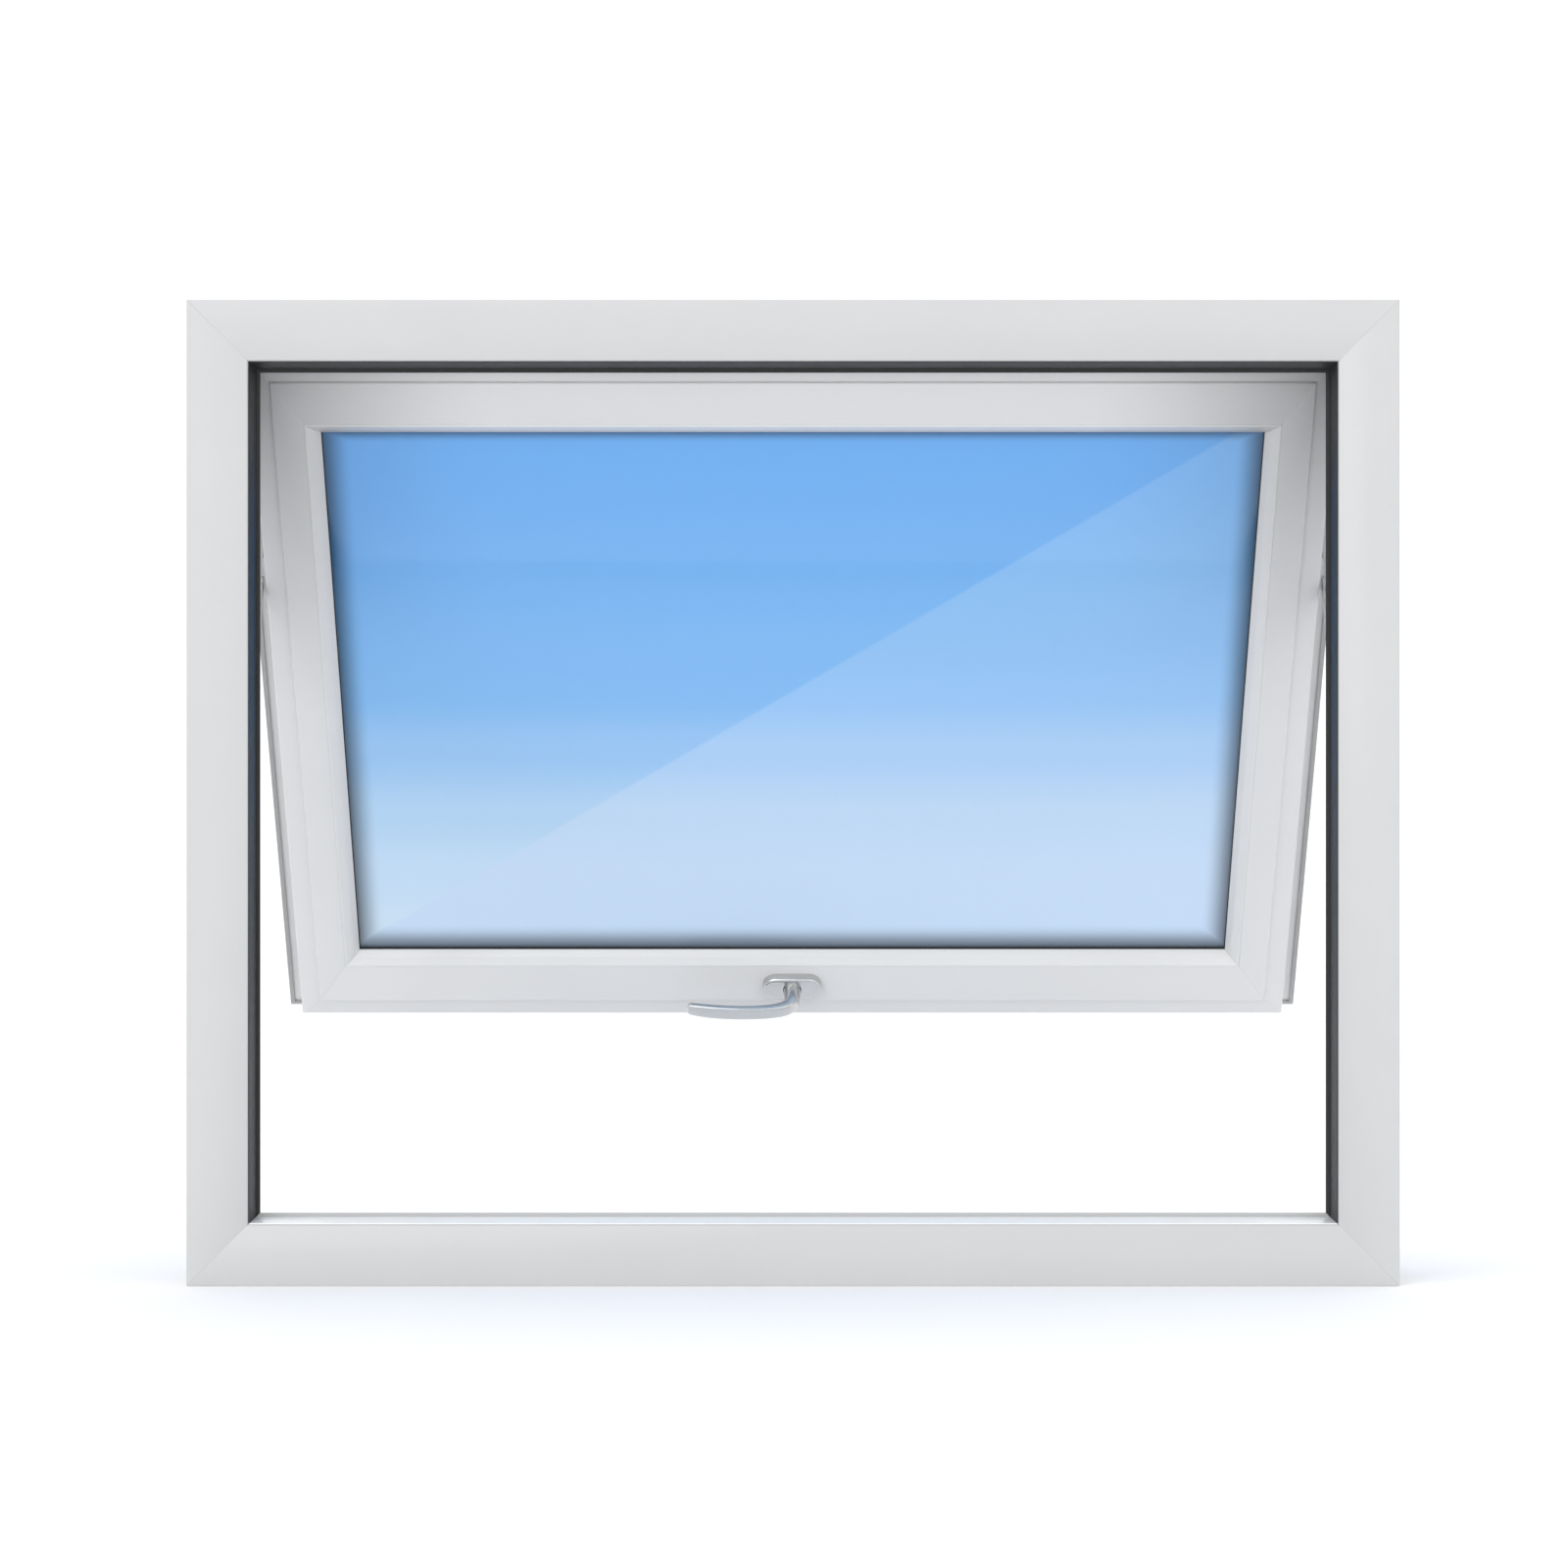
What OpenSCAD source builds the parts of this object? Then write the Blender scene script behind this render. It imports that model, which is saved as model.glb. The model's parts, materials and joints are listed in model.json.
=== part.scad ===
// Top-hung PVC-U window: outer frame, outward-opening glazed sash, hook hinge,
// two side stays and a lever handle that drives a pair of locking rods.
// X runs across the window, Y from the room to the outdoors, Z up.
// The origin is the middle of the frame's underside, half-way through its depth.

/* [Frame] */
// Overall width of the outer frame
frame_w = 1240; // [900:10:1600]
// Overall height of the outer frame
frame_h = 1008; // [800:8:1400]
// Depth of the frame from the room side to the outdoors
frame_d = 70; // [68:1:84]
// Width of the frame's face seen from the room
frame_face = 63; // [60:1:78]
// Depth of the room-side nose in front of the rebate
nose_d = 32; // [30:1:36]
// Wall thickness of the plastic profiles
pvc_wall = 3; // [2.5:0.1:3]
// How far the reveal trim slopes into the opening at its back edge
trim_slope = 4; // [2:0.5:4.5]
// Thickness of the reveal trim at the room face
trim_t = 1; // [0.8:0.1:1.2]

/* [Sash] */
// How far the sash body laps behind the nose all round
lap = 6; // [5:0.5:6.5]
// Gap between the sash body and the frame's rebate, where the hardware runs
hardware_gap = 12; // [12:0.5:13]
// Gap above the sash, where the hook hinge sits
head_gap = 24; // [24:0.5:25]
// Depth of the sash profile
sash_d = 56; // [56:1:60]
// Visible width of the sash stiles, glazing bead included
stile_w = 70; // [68:1:80]
// Visible width of the sash rails, glazing bead included
rail_w = 90; // [88:1:100]
// Width of the recessed lip round the sash face
lip_w = 22; // [20:1:22]
// How far that lip is set back from the sash face
lip_step = 3; // [2:0.5:3]
// How far the outer storm flange covers the frame's outer face
storm_lap = 6; // [5:0.5:7]
// Angle at which the sash stands open
open_angle = 38.8; // [20:0.1:40]

/* [Glazing] */
// Width of a glazing bead
bead_w = 16; // [14:1:17]
// Depth of a glazing bead
bead_d = 12; // [10:1:12]
// Thickness of one glass pane
pane_t = 4; // [3:0.5:5]
// Width of the gas space between the panes
cavity = 16; // [14:1:16]
// How deep the glass sits in its rebate
glass_cover = 12; // [10:0.5:12]

/* [Hardware] */
// Radius of the hinge's round bead
hinge_r = 5; // [4.5:0.1:5]
// Distance of each stay's sash pivot from the hinge axis
stay_len = 300; // [240:5:320]
// Length of the rosette under the handle
rosette_l = 67; // [60:1:70]
// Width of the rosette under the handle
rosette_w = 30; // [26:1:32]
// Length of the lever from its axis to its tip
lever_l = 117; // [100:1:130]
// How far the lever stands off the sash face
lever_out = 50; // [44:1:56]
// Side of the square spindle
spindle_a = 7; // [6:0.5:7]
// Teeth on the drive pinion
pinion_n = 16; // [16:2:16]
// Module of the drive pinion and its racks
gear_m = 1.5; // [1.4:0.05:1.5]

/* [Hidden] */
$fn = 48;
far = 3000;
fit = 0.08;                                  // radial running clearance
gap = 0.3;                                   // clearance between moving bodies
room_y = -frame_d / 2;                       // room-side face of the frame
out_y = frame_d / 2;                         // outer face of the frame
step_y = room_y + nose_d;                    // back of the nose
sash_y = step_y;                             // room-side face of the closed sash
jamb_web = frame_face - lap - hardware_gap;  // frame thickness in the rebate
head_web = frame_face - lap - head_gap;
sash_hw = frame_w / 2 - frame_face + lap;    // half width of the sash body
sash_z0 = frame_face - lap;                  // bottom of the closed sash body
sash_z1 = frame_h - frame_face + lap;        // top of the closed sash body
storm = hardware_gap + storm_lap;            // storm flange past the sash body
storm_d = frame_d - nose_d + 2.5;            // storm flange's inner face, from the sash face
axis_y = room_y + 47;                        // hinge axis
axis_z = sash_z1 + 11;
glass_d = bead_d + 3;                        // room-side face of the glass, from the sash face
unit_t = 2 * pane_t + cavity;                // whole glazed unit
back_d = glass_d + unit_t + 3;               // fixed upstand behind the glass
groove_d0 = 20;                              // hardware groove, from the sash face
groove_d1 = 36;
groove_t = 12;
screw_r = 2;
screw_hole = 0.1;                            // clearance round a screw
head_screw_y = axis_y - 7;                   // screws of the head hinge rail
sash_screw_y = axis_y + 14;                  // screws of the sash hinge rail

white = [0.86, 0.86, 0.86];
steel = [0.72, 0.73, 0.75];
black = [0.17, 0.17, 0.17];
satin = [0.70, 0.70, 0.71];

// ---------- placing ----------
// Turns the closed sash to its open angle about the hinge axis.
module opened() {
  translate([0, axis_y, axis_z]) rotate([open_angle, 0, 0])
    translate([0, -axis_y, -axis_z]) children();
}
// Runs a section (u inward from the edge, v towards the outdoors) along the bottom.
module run_x(len) { rotate([0, -90, 0]) linear_extrude(height = len, center = true) children(); }
// A prism with the given outline in the X-Z plane, through the whole depth.
module prism(points) { rotate([90, 0, 0]) linear_extrude(height = 400, center = true) polygon(points); }
function flip_x(p) = [for (i = [len(p) - 1:-1:0]) [-p[i][0], p[i][1]]];
function flip_z(p) = [for (i = [len(p) - 1:-1:0]) [p[i][0], -p[i][1]]];
function shift(p, dx, dz) = [for (q = p) [q[0] + dx, q[1] + dz]];
// A block from its two opposite corners.
module block(a, b) { translate(a) cube(b - a); }
// A round bar along X, along Y or along Z.
module bar_x(x0, x1, y, z, r) { translate([x0, y, z]) rotate([0, 90, 0]) cylinder(h = x1 - x0, r = r); }
module bar_y(x, y0, y1, z, r) { translate([x, y0, z]) rotate([-90, 0, 0]) cylinder(h = y1 - y0, r = r); }
module bar_z(x, y, z0, z1, r) { translate([x, y, z0]) cylinder(h = z1 - z0, r = r); }
// A mitred member of a rectangle with corner points c0 and c1 at its two ends.
module member(side, hw, z0, z1, c0, c1) {
  h = z1 - z0;
  if (side == "bottom")
    intersection() {
      translate([0, 0, z0]) run_x(2 * hw + 200) children();
      prism(concat(shift(c0, -hw, z0), flip_x(shift(c0, -hw, z0))));
    }
  if (side == "top")
    intersection() {
      translate([0, 0, z1]) mirror([0, 0, 1]) run_x(2 * hw + 200) children();
      prism(concat(shift(flip_z(c1), -hw, z1), flip_x(shift(flip_z(c1), -hw, z1))));
    }
  if (side == "left")
    intersection() {
      translate([-hw, 0, z0 + h / 2]) linear_extrude(height = h + 200, center = true) children();
      prism(concat(shift(c0, -hw, z0), shift(flip_z(c1), -hw, z1)));
    }
  if (side == "right") mirror([1, 0, 0]) member("left", hw, z0, z1, c0, c1) children();
}

// ---------- outer frame ----------
module frame_section(web) {
  c = 1.5;
  translate([0, room_y]) difference() {
    polygon([[0, c], [c, 0], [frame_face - c, 0], [frame_face, c], [frame_face, nose_d],
      [web, nose_d], [web, frame_d - c], [web - c, frame_d], [c, frame_d], [0, frame_d - c]]);
    translate([pvc_wall, pvc_wall]) square([frame_face - 2 * pvc_wall, nose_d - 2 * pvc_wall]);
    translate([pvc_wall, nose_d]) square([web - 2 * pvc_wall, frame_d - nose_d - pvc_wall]);
  }
}
frame_corner = [[0, 0], [frame_face, frame_face]];
module frame_member(side, web) {
  color(white) member(side, frame_w / 2, 0, frame_h, frame_corner, frame_corner) frame_section(web);
}
fix_z = [frame_h / 2 - 300, frame_h / 2 + 300];
fix_x = [-400, 400];
fix_y = room_y + 51;
fix_r = 3.1;
module frame_head() {
  difference() {
    frame_member("top", head_web);
    for (x = fix_x) bar_z(x, fix_y, frame_h - head_web - 1, frame_h + 1, fix_r);
    for (x = hinge_screw_x) bar_z(x, head_screw_y, frame_h - head_web - 1, frame_h - head_web + 8, screw_r);
  }
}
module frame_sill() {
  difference() {
    frame_member("bottom", jamb_web);
    for (x = keep_screw_x) bar_z(x, keep_screw_y, jamb_web - 8, jamb_web + 1, screw_r);
  }
}
module jamb_left() {
  difference() {
    frame_member("left", jamb_web);
    for (z = fix_z) bar_x(-frame_w / 2 - 1, -frame_w / 2 + jamb_web + 1, fix_y, z, fix_r);
    mirror([1, 0, 0]) for (z = track_screw_z) bar_x(wall_x - 1, wall_x + 9, axis_y, z, screw_r);
  }
}
module frame_jamb_left() { jamb_left(); }
module frame_jamb_right() { mirror([1, 0, 0]) jamb_left(); }
// Galvanised steel channels inside the frame's main chamber.
module channel_section(a, b, t) {
  difference() { square([a, b]); translate([t, t]) square([a, b - 2 * t]); }
}
module frame_steel() {
  e = pvc_wall + 0.5;
  t = 2;
  trim_end = frame_face + 25;
  b = frame_d - nose_d - 2 * e;
  y = step_y + e;
  color(steel) difference() {
    union() {
      translate([0, 0, e]) run_x(frame_w - 2 * trim_end) translate([0, y])
        channel_section(jamb_web - 2 * e, b, t);
      translate([0, 0, frame_h - e]) mirror([0, 0, 1])
        run_x(frame_w - 2 * trim_end) translate([0, y]) channel_section(head_web - 2 * e, b, t);
      for (s = [0, 1]) mirror([s, 0, 0]) translate([-frame_w / 2 + e, y, trim_end])
        linear_extrude(height = frame_h - 2 * trim_end) channel_section(jamb_web - 2 * e, b, t);
    }
    for (x = fix_x) bar_z(x, fix_y, frame_h - head_web - 1, frame_h + 1, fix_r);
    for (z = fix_z) bar_x(-frame_w, frame_w, fix_y, z, fix_r);
    for (x = hinge_screw_x)
      bar_z(x, head_screw_y, frame_h - head_web - 1, frame_h - head_web + 8, screw_r + 2 * screw_hole);
    for (x = keep_screw_x) bar_z(x, keep_screw_y, jamb_web - 8, jamb_web + 1, screw_r + 2 * screw_hole);
    for (s = [0, 1]) mirror([s, 0, 0])
      for (z = track_screw_z) bar_x(wall_x - 1, wall_x + 9, axis_y, z, screw_r + 2 * screw_hole);
  }
}
// Tapered strips that line the reveal of the opening.
module trim_section() {
  translate([frame_face, room_y])
    polygon([[0, 1.5], [trim_t, 1.5], [trim_t + trim_slope, nose_d - 1], [trim_t + trim_slope, nose_d],
      [0, nose_d]]);
}
trim_corner = [[frame_face, frame_face], [frame_face + 20, frame_face + 20]];
module reveal_trim(side, c) {
  color(c) member(side, frame_w / 2, 0, frame_h, trim_corner, trim_corner) trim_section();
}
module reveal_trim_head() { reveal_trim("top", black); }
module reveal_trim_left() { reveal_trim("left", black); }
module reveal_trim_right() { reveal_trim("right", black); }
module reveal_trim_sill() { reveal_trim("bottom", white); }
// A rectangular ring in the X-Z plane: u0 and u1 are measured in from the frame's edge.
module ring(hw, z0, z1, u0, u1, w0, w1, y0, y1) {
  difference() {
    block([-hw + u0, y0, z0 + w0], [hw - u0, y1, z1 - w0]);
    block([-hw + u1, y0 - 1, z0 + w1], [hw - u1, y1 + 1, z1 - w1]);
  }
}
seal_t = lip_step - gap;
seal_in = frame_face + trim_t + trim_slope + 4;
module frame_seal() {
  color(black) ring(frame_w / 2, 0, frame_h, sash_z0, seal_in, sash_z0, seal_in, step_y, step_y + seal_t);
}

// ---------- hook hinge along the head ----------
hinge_hl = sash_hw - 23;
hook_t = 2.5;
hinge_screw_x = [for (i = [-4:4]) i * hinge_hl / 4.5];
module head_hinge_rail() {
  top = frame_h - head_web;
  color(satin) difference() {
    union() {
      block([-hinge_hl, axis_y - 12, top - 2.5], [hinge_hl, axis_y + 19, top]);
      block([-hinge_hl, axis_y - 1.5, axis_z], [hinge_hl, axis_y + 1.5, top - 2]);
      bar_x(-hinge_hl, hinge_hl, axis_y, axis_z, hinge_r);
    }
    for (x = hinge_screw_x) bar_z(x, head_screw_y, top - 4, top + 1, screw_r + screw_hole);
  }
}
module sash_hinge_rail() {
  r = hinge_r + fit;
  opening = [open_angle + 24, 22];           // room the neck needs each side of upright
  color(satin) opened() difference() {
    union() {
      bar_x(-hinge_hl, hinge_hl, axis_y, axis_z, r + hook_t);
      block([-hinge_hl, axis_y - 3, sash_z1 + 2], [hinge_hl, axis_y + 3, axis_z - r - 1]);
      block([-hinge_hl, axis_y - 11, sash_z1], [hinge_hl, axis_y + 23, sash_z1 + 2.4]);
    }
    bar_x(-hinge_hl - 1, hinge_hl + 1, axis_y, axis_z, r);
    translate([0, axis_y, axis_z]) rotate([90, 0, 90]) linear_extrude(height = far, center = true)
      polygon([[0, 0], 30 * [cos(90 - opening[0]), sin(90 - opening[0])], [20, 30], [-8, 30],
        30 * [cos(90 + opening[1]), sin(90 + opening[1])]]);
    for (x = hinge_screw_x) bar_z(x, sash_screw_y, sash_z1 - 1, sash_z1 + 4, screw_r + screw_hole);
  }
}
// Rain hood over the hinge, screwed to the frame's outer face.
hood_over = 9;                               // room between the shut sash and the hood
hood_reach = sash_y + sash_d + hood_over - out_y;
hood_t = 2;
module head_drip() {
  y = out_y;
  y1 = y + hood_reach;
  z = frame_h;
  color(white) rotate([90, 0, 90]) linear_extrude(height = frame_w - 20, center = true)
    polygon([[y, z - 22], [y + hood_t, z - 22], [y + hood_t, z - 6], [y1 - hood_t, z - 17],
      [y1 - hood_t, z - 33], [y1, z - 33], [y1, z - 15.5], [y + 2.5, z - 2.5], [y, z - 2]]);
}

// ---------- sill outside ----------
sill_reach = 80;
sill_t = 3;
cap_t = 2;
module outer_sill() {
  y = out_y;
  y1 = y + sill_reach;
  color(white) rotate([90, 0, 90]) linear_extrude(height = frame_w - 2 * cap_t, center = true)
    polygon([[y, 8], [y + 2.5, 8], [y + 2.5, 17], [y1 - sill_t, 11], [y1 - sill_t, 1], [y1, 1], [y1, 14],
      [y + 2.5, 20.5], [y + 2.5, 30], [y, 30]]);
}
module outer_sill_caps() {
  y1 = out_y + sill_reach + 2;
  color(white) for (s = [0, 1]) mirror([s, 0, 0])
    translate([frame_w / 2 - cap_t, 0, 0]) rotate([90, 0, 90]) linear_extrude(height = cap_t)
      polygon([[out_y, 1], [y1, 1], [y1, 16], [out_y + 3, 31], [out_y, 31]]);
}

// ---------- side stays ----------
wall_x = frame_w / 2 - jamb_web;             // rebate wall of the jamb
track_w = 18;
track_h = 5.4;
shoe_l = 24;
foot_open = 2 * stay_len * cos(open_angle);  // distance of the stay's foot below the axis
foot_shut = 2 * stay_len;
track_z = [axis_z - foot_shut - 36, axis_z - foot_open + 36];
track_screw_z = [track_z[0] + 9, track_z[1] - 9];
module stay_track() {
  lip = 3;
  t = 1.2;
  color(steel) difference() {
    block([wall_x - track_h, axis_y - track_w / 2, track_z[0]], [wall_x, axis_y + track_w / 2, track_z[1]]);
    block([wall_x - track_h + t, axis_y - track_w / 2 + t, track_z[0] - 1],
      [wall_x - t, axis_y + track_w / 2 - t, track_z[1] + 1]);
    block([wall_x - track_h - 1, axis_y - track_w / 2 + t + lip, track_z[0] - 1],
      [wall_x - track_h + t + 1, axis_y + track_w / 2 - t - lip, track_z[1] + 1]);
    for (z = track_screw_z) bar_x(wall_x - 3, wall_x + 1, axis_y, z, screw_r + screw_hole);
  }
}
arm_x = [sash_hw + 3.8, sash_hw + 5.8];
pivot_r = 2.5;
// The stay arm, drawn shut: it hangs straight down from its pivot on the sash.
module stay_arm() {
  a = stay_len;
  color(steel) opened() translate([0, axis_y, axis_z - a]) rotate([-2 * open_angle, 0, 0]) difference() {
    union() {
      bar_x(arm_x[0], arm_x[1], 0, 0, 8);
      bar_x(arm_x[0], arm_x[1], 0, -a, 8);
      block([arm_x[0], -7, -a], [arm_x[1], 7, 0]);
    }
    for (z = [0, -a]) bar_x(arm_x[0] - 1, arm_x[1] + 1, 0, z, pivot_r + fit);
  }
}
module stay_shoe() {
  z = axis_z - foot_open;
  color(black) {
    block([wall_x - track_h + 1.6, axis_y - 7, z - shoe_l / 2], [wall_x - 2, axis_y + 7, z + shoe_l / 2]);
    bar_x(arm_x[0] - 0.3, wall_x - track_h + 2, axis_y, z, pivot_r);
    bar_x(arm_x[0] - 1.6, arm_x[0] - 0.3, axis_y, z, 4);
  }
}
module stay_bracket() {
  z = axis_z - stay_len;
  color(steel) opened() difference() {
    union() {
      block([sash_hw, axis_y - 9, z - 40], [sash_hw + 2, axis_y + 9, z + 40]);
      bar_x(sash_hw, arm_x[0] - 0.3, axis_y, z, 5);
      bar_x(sash_hw, arm_x[1] + 0.3, axis_y, z, pivot_r);
      bar_x(arm_x[1] + 0.3, arm_x[1] + 1.6, axis_y, z, 4);
    }
    for (s = [-1, 1]) bar_x(sash_hw - 1, sash_hw + 3, axis_y - 3, z + s * 30, 1.7);
  }
}
module stay_track_left() { mirror([1, 0, 0]) stay_track(); }
module stay_track_right() { stay_track(); }
module stay_arm_left() { mirror([1, 0, 0]) stay_arm(); }
module stay_arm_right() { stay_arm(); }
module stay_shoe_left() { mirror([1, 0, 0]) stay_shoe(); }
module stay_shoe_right() { stay_shoe(); }
module stay_bracket_left() { mirror([1, 0, 0]) stay_bracket(); }
module stay_bracket_right() { stay_bracket(); }

// ---------- sash ----------
module sash_section(w, flange) {
  c = 1;
  b = w - bead_w;
  outer = flange > 0 ? [[-flange, sash_d - c], [-flange, storm_d], [0, storm_d]] : [[0, sash_d - c]];
  translate([0, sash_y]) difference() {
    polygon(concat([[0, lip_step + c], [c, lip_step], [lip_w, lip_step], [lip_w + c, 0], [b, 0], [b, back_d],
      [w, back_d], [w, back_d + 3], [w - 8, sash_d], [-flange + c, sash_d]], outer,
      [[0, groove_d1], [groove_t, groove_d1], [groove_t, groove_d0], [0, groove_d0]]));
    translate([groove_t + pvc_wall, lip_step + pvc_wall]) square([b - groove_t - 2 * pvc_wall, 11]);
    translate([groove_t + pvc_wall, lip_step + 2 * pvc_wall + 11])
      square([b - groove_t - 2 * pvc_wall, sash_d - lip_step - 3 * pvc_wall - 11]);
  }
}
corner_in = [[0, 0], [lip_w, lip_w], [stile_w - bead_w, rail_w - bead_w], [stile_w, rail_w]];
corner_low = concat([[-storm, -storm]], corner_in);
corner_top = concat([[-storm, 0]], corner_in);
module sash_member(side, w, flange) {
  rail = side == "top";
  color(white) member(side, sash_hw, sash_z0, sash_z1, corner_low, rail ? corner_in : corner_top)
    sash_section(w, flange);
}
module sash_top_rail() {
  opened() difference() {
    sash_member("top", rail_w, 0);
    for (x = hinge_screw_x) bar_z(x, sash_screw_y, sash_z1 - 14, sash_z1 + 1, screw_r);
  }
}
module sash_bottom_rail() {
  opened() difference() {
    sash_member("bottom", rail_w, storm);
    block([-pocket_hx, sash_y + groove_d0, sash_z0 - 1],
      [pocket_hx, sash_y + groove_d1 + 1, sash_z0 + rail_w - bead_w - pvc_wall]);
    bar_y(0, sash_y - 1, sash_y + groove_d0 + 1, grip_z, 9);
    for (s = [-1, 1])
      bar_y(s * rosette_pitch / 2, sash_y - 1, sash_y + groove_d0 + 1, grip_z, rosette_screw_r);
  }
}
module stile_left() {
  opened() difference() {
    sash_member("left", stile_w, storm);
    for (s = [-1, 1]) bar_x(-sash_hw - 1, -sash_hw + 10, axis_y - 3, axis_z - stay_len + s * 30, 1.5);
  }
}
module sash_stile_left() { stile_left(); }
module sash_stile_right() { mirror([1, 0, 0]) stile_left(); }
// Steel channels in the sash's outer chamber; the bottom one is cut round the gearbox.
module sash_steel() {
  e = 0.5;
  d0 = lip_step + 2 * pvc_wall + 11 + e;
  depth = sash_d - pvc_wall - e - d0;
  p0 = groove_t + pvc_wall + e;
  rail_a = rail_w - bead_w - pvc_wall - e - p0;
  stile_a = stile_w - bead_w - pvc_wall - e - p0;
  end = stile_w + 12;
  color(steel) opened() difference() {
    union() {
      translate([0, 0, sash_z0 + p0]) run_x(2 * (sash_hw - end)) translate([0, sash_y + d0])
        channel_section(rail_a, depth, 1.5);
      translate([0, 0, sash_z1 - p0]) mirror([0, 0, 1]) run_x(2 * (sash_hw - end))
        translate([0, sash_y + d0]) channel_section(rail_a, depth, 1.5);
      for (s = [0, 1]) mirror([s, 0, 0]) translate([-sash_hw + p0, sash_y + d0, sash_z0 + rail_w + 12])
        linear_extrude(height = sash_z1 - sash_z0 - 2 * rail_w - 24) channel_section(stile_a, depth, 1.5);
    }
    block([-pocket_hx - 2, sash_y - 1, sash_z0], [pocket_hx + 2, sash_y + sash_d, sash_z0 + rail_w]);
    for (x = hinge_screw_x) bar_z(x, sash_screw_y, sash_z1 - 20, sash_z1 + 1, screw_r + 2 * screw_hole);
  }
}

// ---------- glazing ----------
module bead_section(w) {
  translate([w - bead_w, sash_y])
    polygon([[0, 0], [2, 0], [bead_w, bead_d - 1.5], [bead_w, bead_d], [0, bead_d]]);
}
bead_corner = [[stile_w - bead_w, rail_w - bead_w], [stile_w, rail_w]];
module bead(side, w) {
  color([0.89, 0.89, 0.89]) opened()
    member(side, sash_hw, sash_z0, sash_z1, bead_corner, bead_corner) bead_section(w);
}
module bead_top() { bead("top", rail_w); }
module bead_bottom() { bead("bottom", rail_w); }
module bead_left() { bead("left", stile_w); }
module bead_right() { bead("right", stile_w); }
// A ring of the glazing, from a to b inside the sight line (negative is inside the rebate).
module glazing_ring(a, b, d0, d1) {
  ring(sash_hw, sash_z0, sash_z1, stile_w + a, stile_w + b, rail_w + a, rail_w + b,
    sash_y + d0, sash_y + d1);
}
module pane(d0) {
  color([0.48, 0.69, 0.93, 0.35]) opened()
    block([-sash_hw + stile_w - glass_cover, sash_y + d0, sash_z0 + rail_w - glass_cover],
      [sash_hw - stile_w + glass_cover, sash_y + d0 + pane_t, sash_z1 - rail_w + glass_cover]);
}
module pane_inner() { pane(glass_d); }
module pane_outer() { pane(glass_d + pane_t + cavity); }
module glass_spacer() {
  color(black) opened() glazing_ring(-9, -2.5, glass_d + pane_t, glass_d + pane_t + cavity);
}
module edge_sealant() {
  color(black) opened() glazing_ring(-glass_cover, -9, glass_d + pane_t, glass_d + pane_t + cavity);
}
module bead_gasket() { color(black) opened() glazing_ring(-6, 0.8, bead_d, glass_d); }
module outer_gasket() { color(black) opened() glazing_ring(-6, 0.8, glass_d + unit_t, back_d); }
module glazing_packers() {
  t = bead_w - glass_cover;
  l = 100;
  zr = rail_w - bead_w;
  xr = stile_w - bead_w;
  y = [sash_y + glass_d + 2, sash_y + glass_d + unit_t - 2];
  color([0.25, 0.45, 0.7]) opened() {
    for (s = [-1, 1]) {
      block([s * 380 - l / 2, y[0], sash_z0 + zr], [s * 380 + l / 2, y[1], sash_z0 + zr + t]);
      block([s * 380 - l / 2, y[0], sash_z1 - zr - t], [s * 380 + l / 2, y[1], sash_z1 - zr]);
    }
    for (m = [0, 1]) mirror([m, 0, 0]) for (z = [sash_z0 + 230, sash_z1 - 230])
      block([-sash_hw + xr, y[0], z - l / 2], [-sash_hw + xr + t, y[1], z + l / 2]);
  }
}
// Weather strip inside the storm flange, on both sides and along the bottom.
module sash_seal() {
  t = storm_d - (frame_d - nose_d) - gap;
  w0 = hardware_gap + 0.5;
  w1 = storm - 1;
  color(black) opened() difference() {
    block([-sash_hw - w1, sash_y + storm_d - t, sash_z0 - w1], [sash_hw + w1, sash_y + storm_d, sash_z1]);
    block([-sash_hw - w0, sash_y, sash_z0 - w0], [sash_hw + w0, sash_y + sash_d, sash_z1 + 1]);
  }
}

// ---------- gearbox, rods and locks ----------
grip_p = 48;                                 // handle axis above the sash's lower edge
grip_z = sash_z0 + grip_p;
pitch_r = gear_m * pinion_n / 2;
travel = pitch_r * PI / 2;                   // rod travel for a quarter turn
rack_back = pitch_r + 1.25 * gear_m + 5;
case_hx = 36;
case_wall = 2.6;
case_in = rack_back + 0.5;
case_d = [groove_d0 + 1.2, groove_d1 + 0.4];
plate_t = 2;
rack_d = [case_d[0] + plate_t + 1, case_d[1] - plate_t - 1];
rod_d = [22, 34];
web_x = [40, 52];
pocket_hx = web_x[1] + travel + 6;
hub_r = 8;
module gearbox_plate(d0) {
  difference() {
    block([-case_hx, sash_y + d0, grip_z - case_in - case_wall],
      [case_hx, sash_y + d0 + plate_t, grip_z + case_in + case_wall]);
    bar_y(0, sash_y + d0 - 1, sash_y + d0 + plate_t + 1, grip_z, hub_r + fit);
  }
}
module gearbox_case() {
  color(steel) opened() union() {
    gearbox_plate(case_d[1] - plate_t);
    for (s = [-1, 1]) {
      z = s > 0 ? grip_z + case_in : grip_z - case_in - case_wall;
      block([-case_hx, sash_y + case_d[0] + plate_t, z],
        [case_hx, sash_y + case_d[1] - plate_t, z + case_wall]);
    }
  }
}
module gearbox_cover() {
  color(steel) opened() difference() {
    gearbox_plate(case_d[0]);
    for (s = [-1, 1]) bar_y(s * rosette_pitch / 2, sash_y + groove_d0, sash_y + case_d[1], grip_z, 2.1);
  }
}
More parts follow.
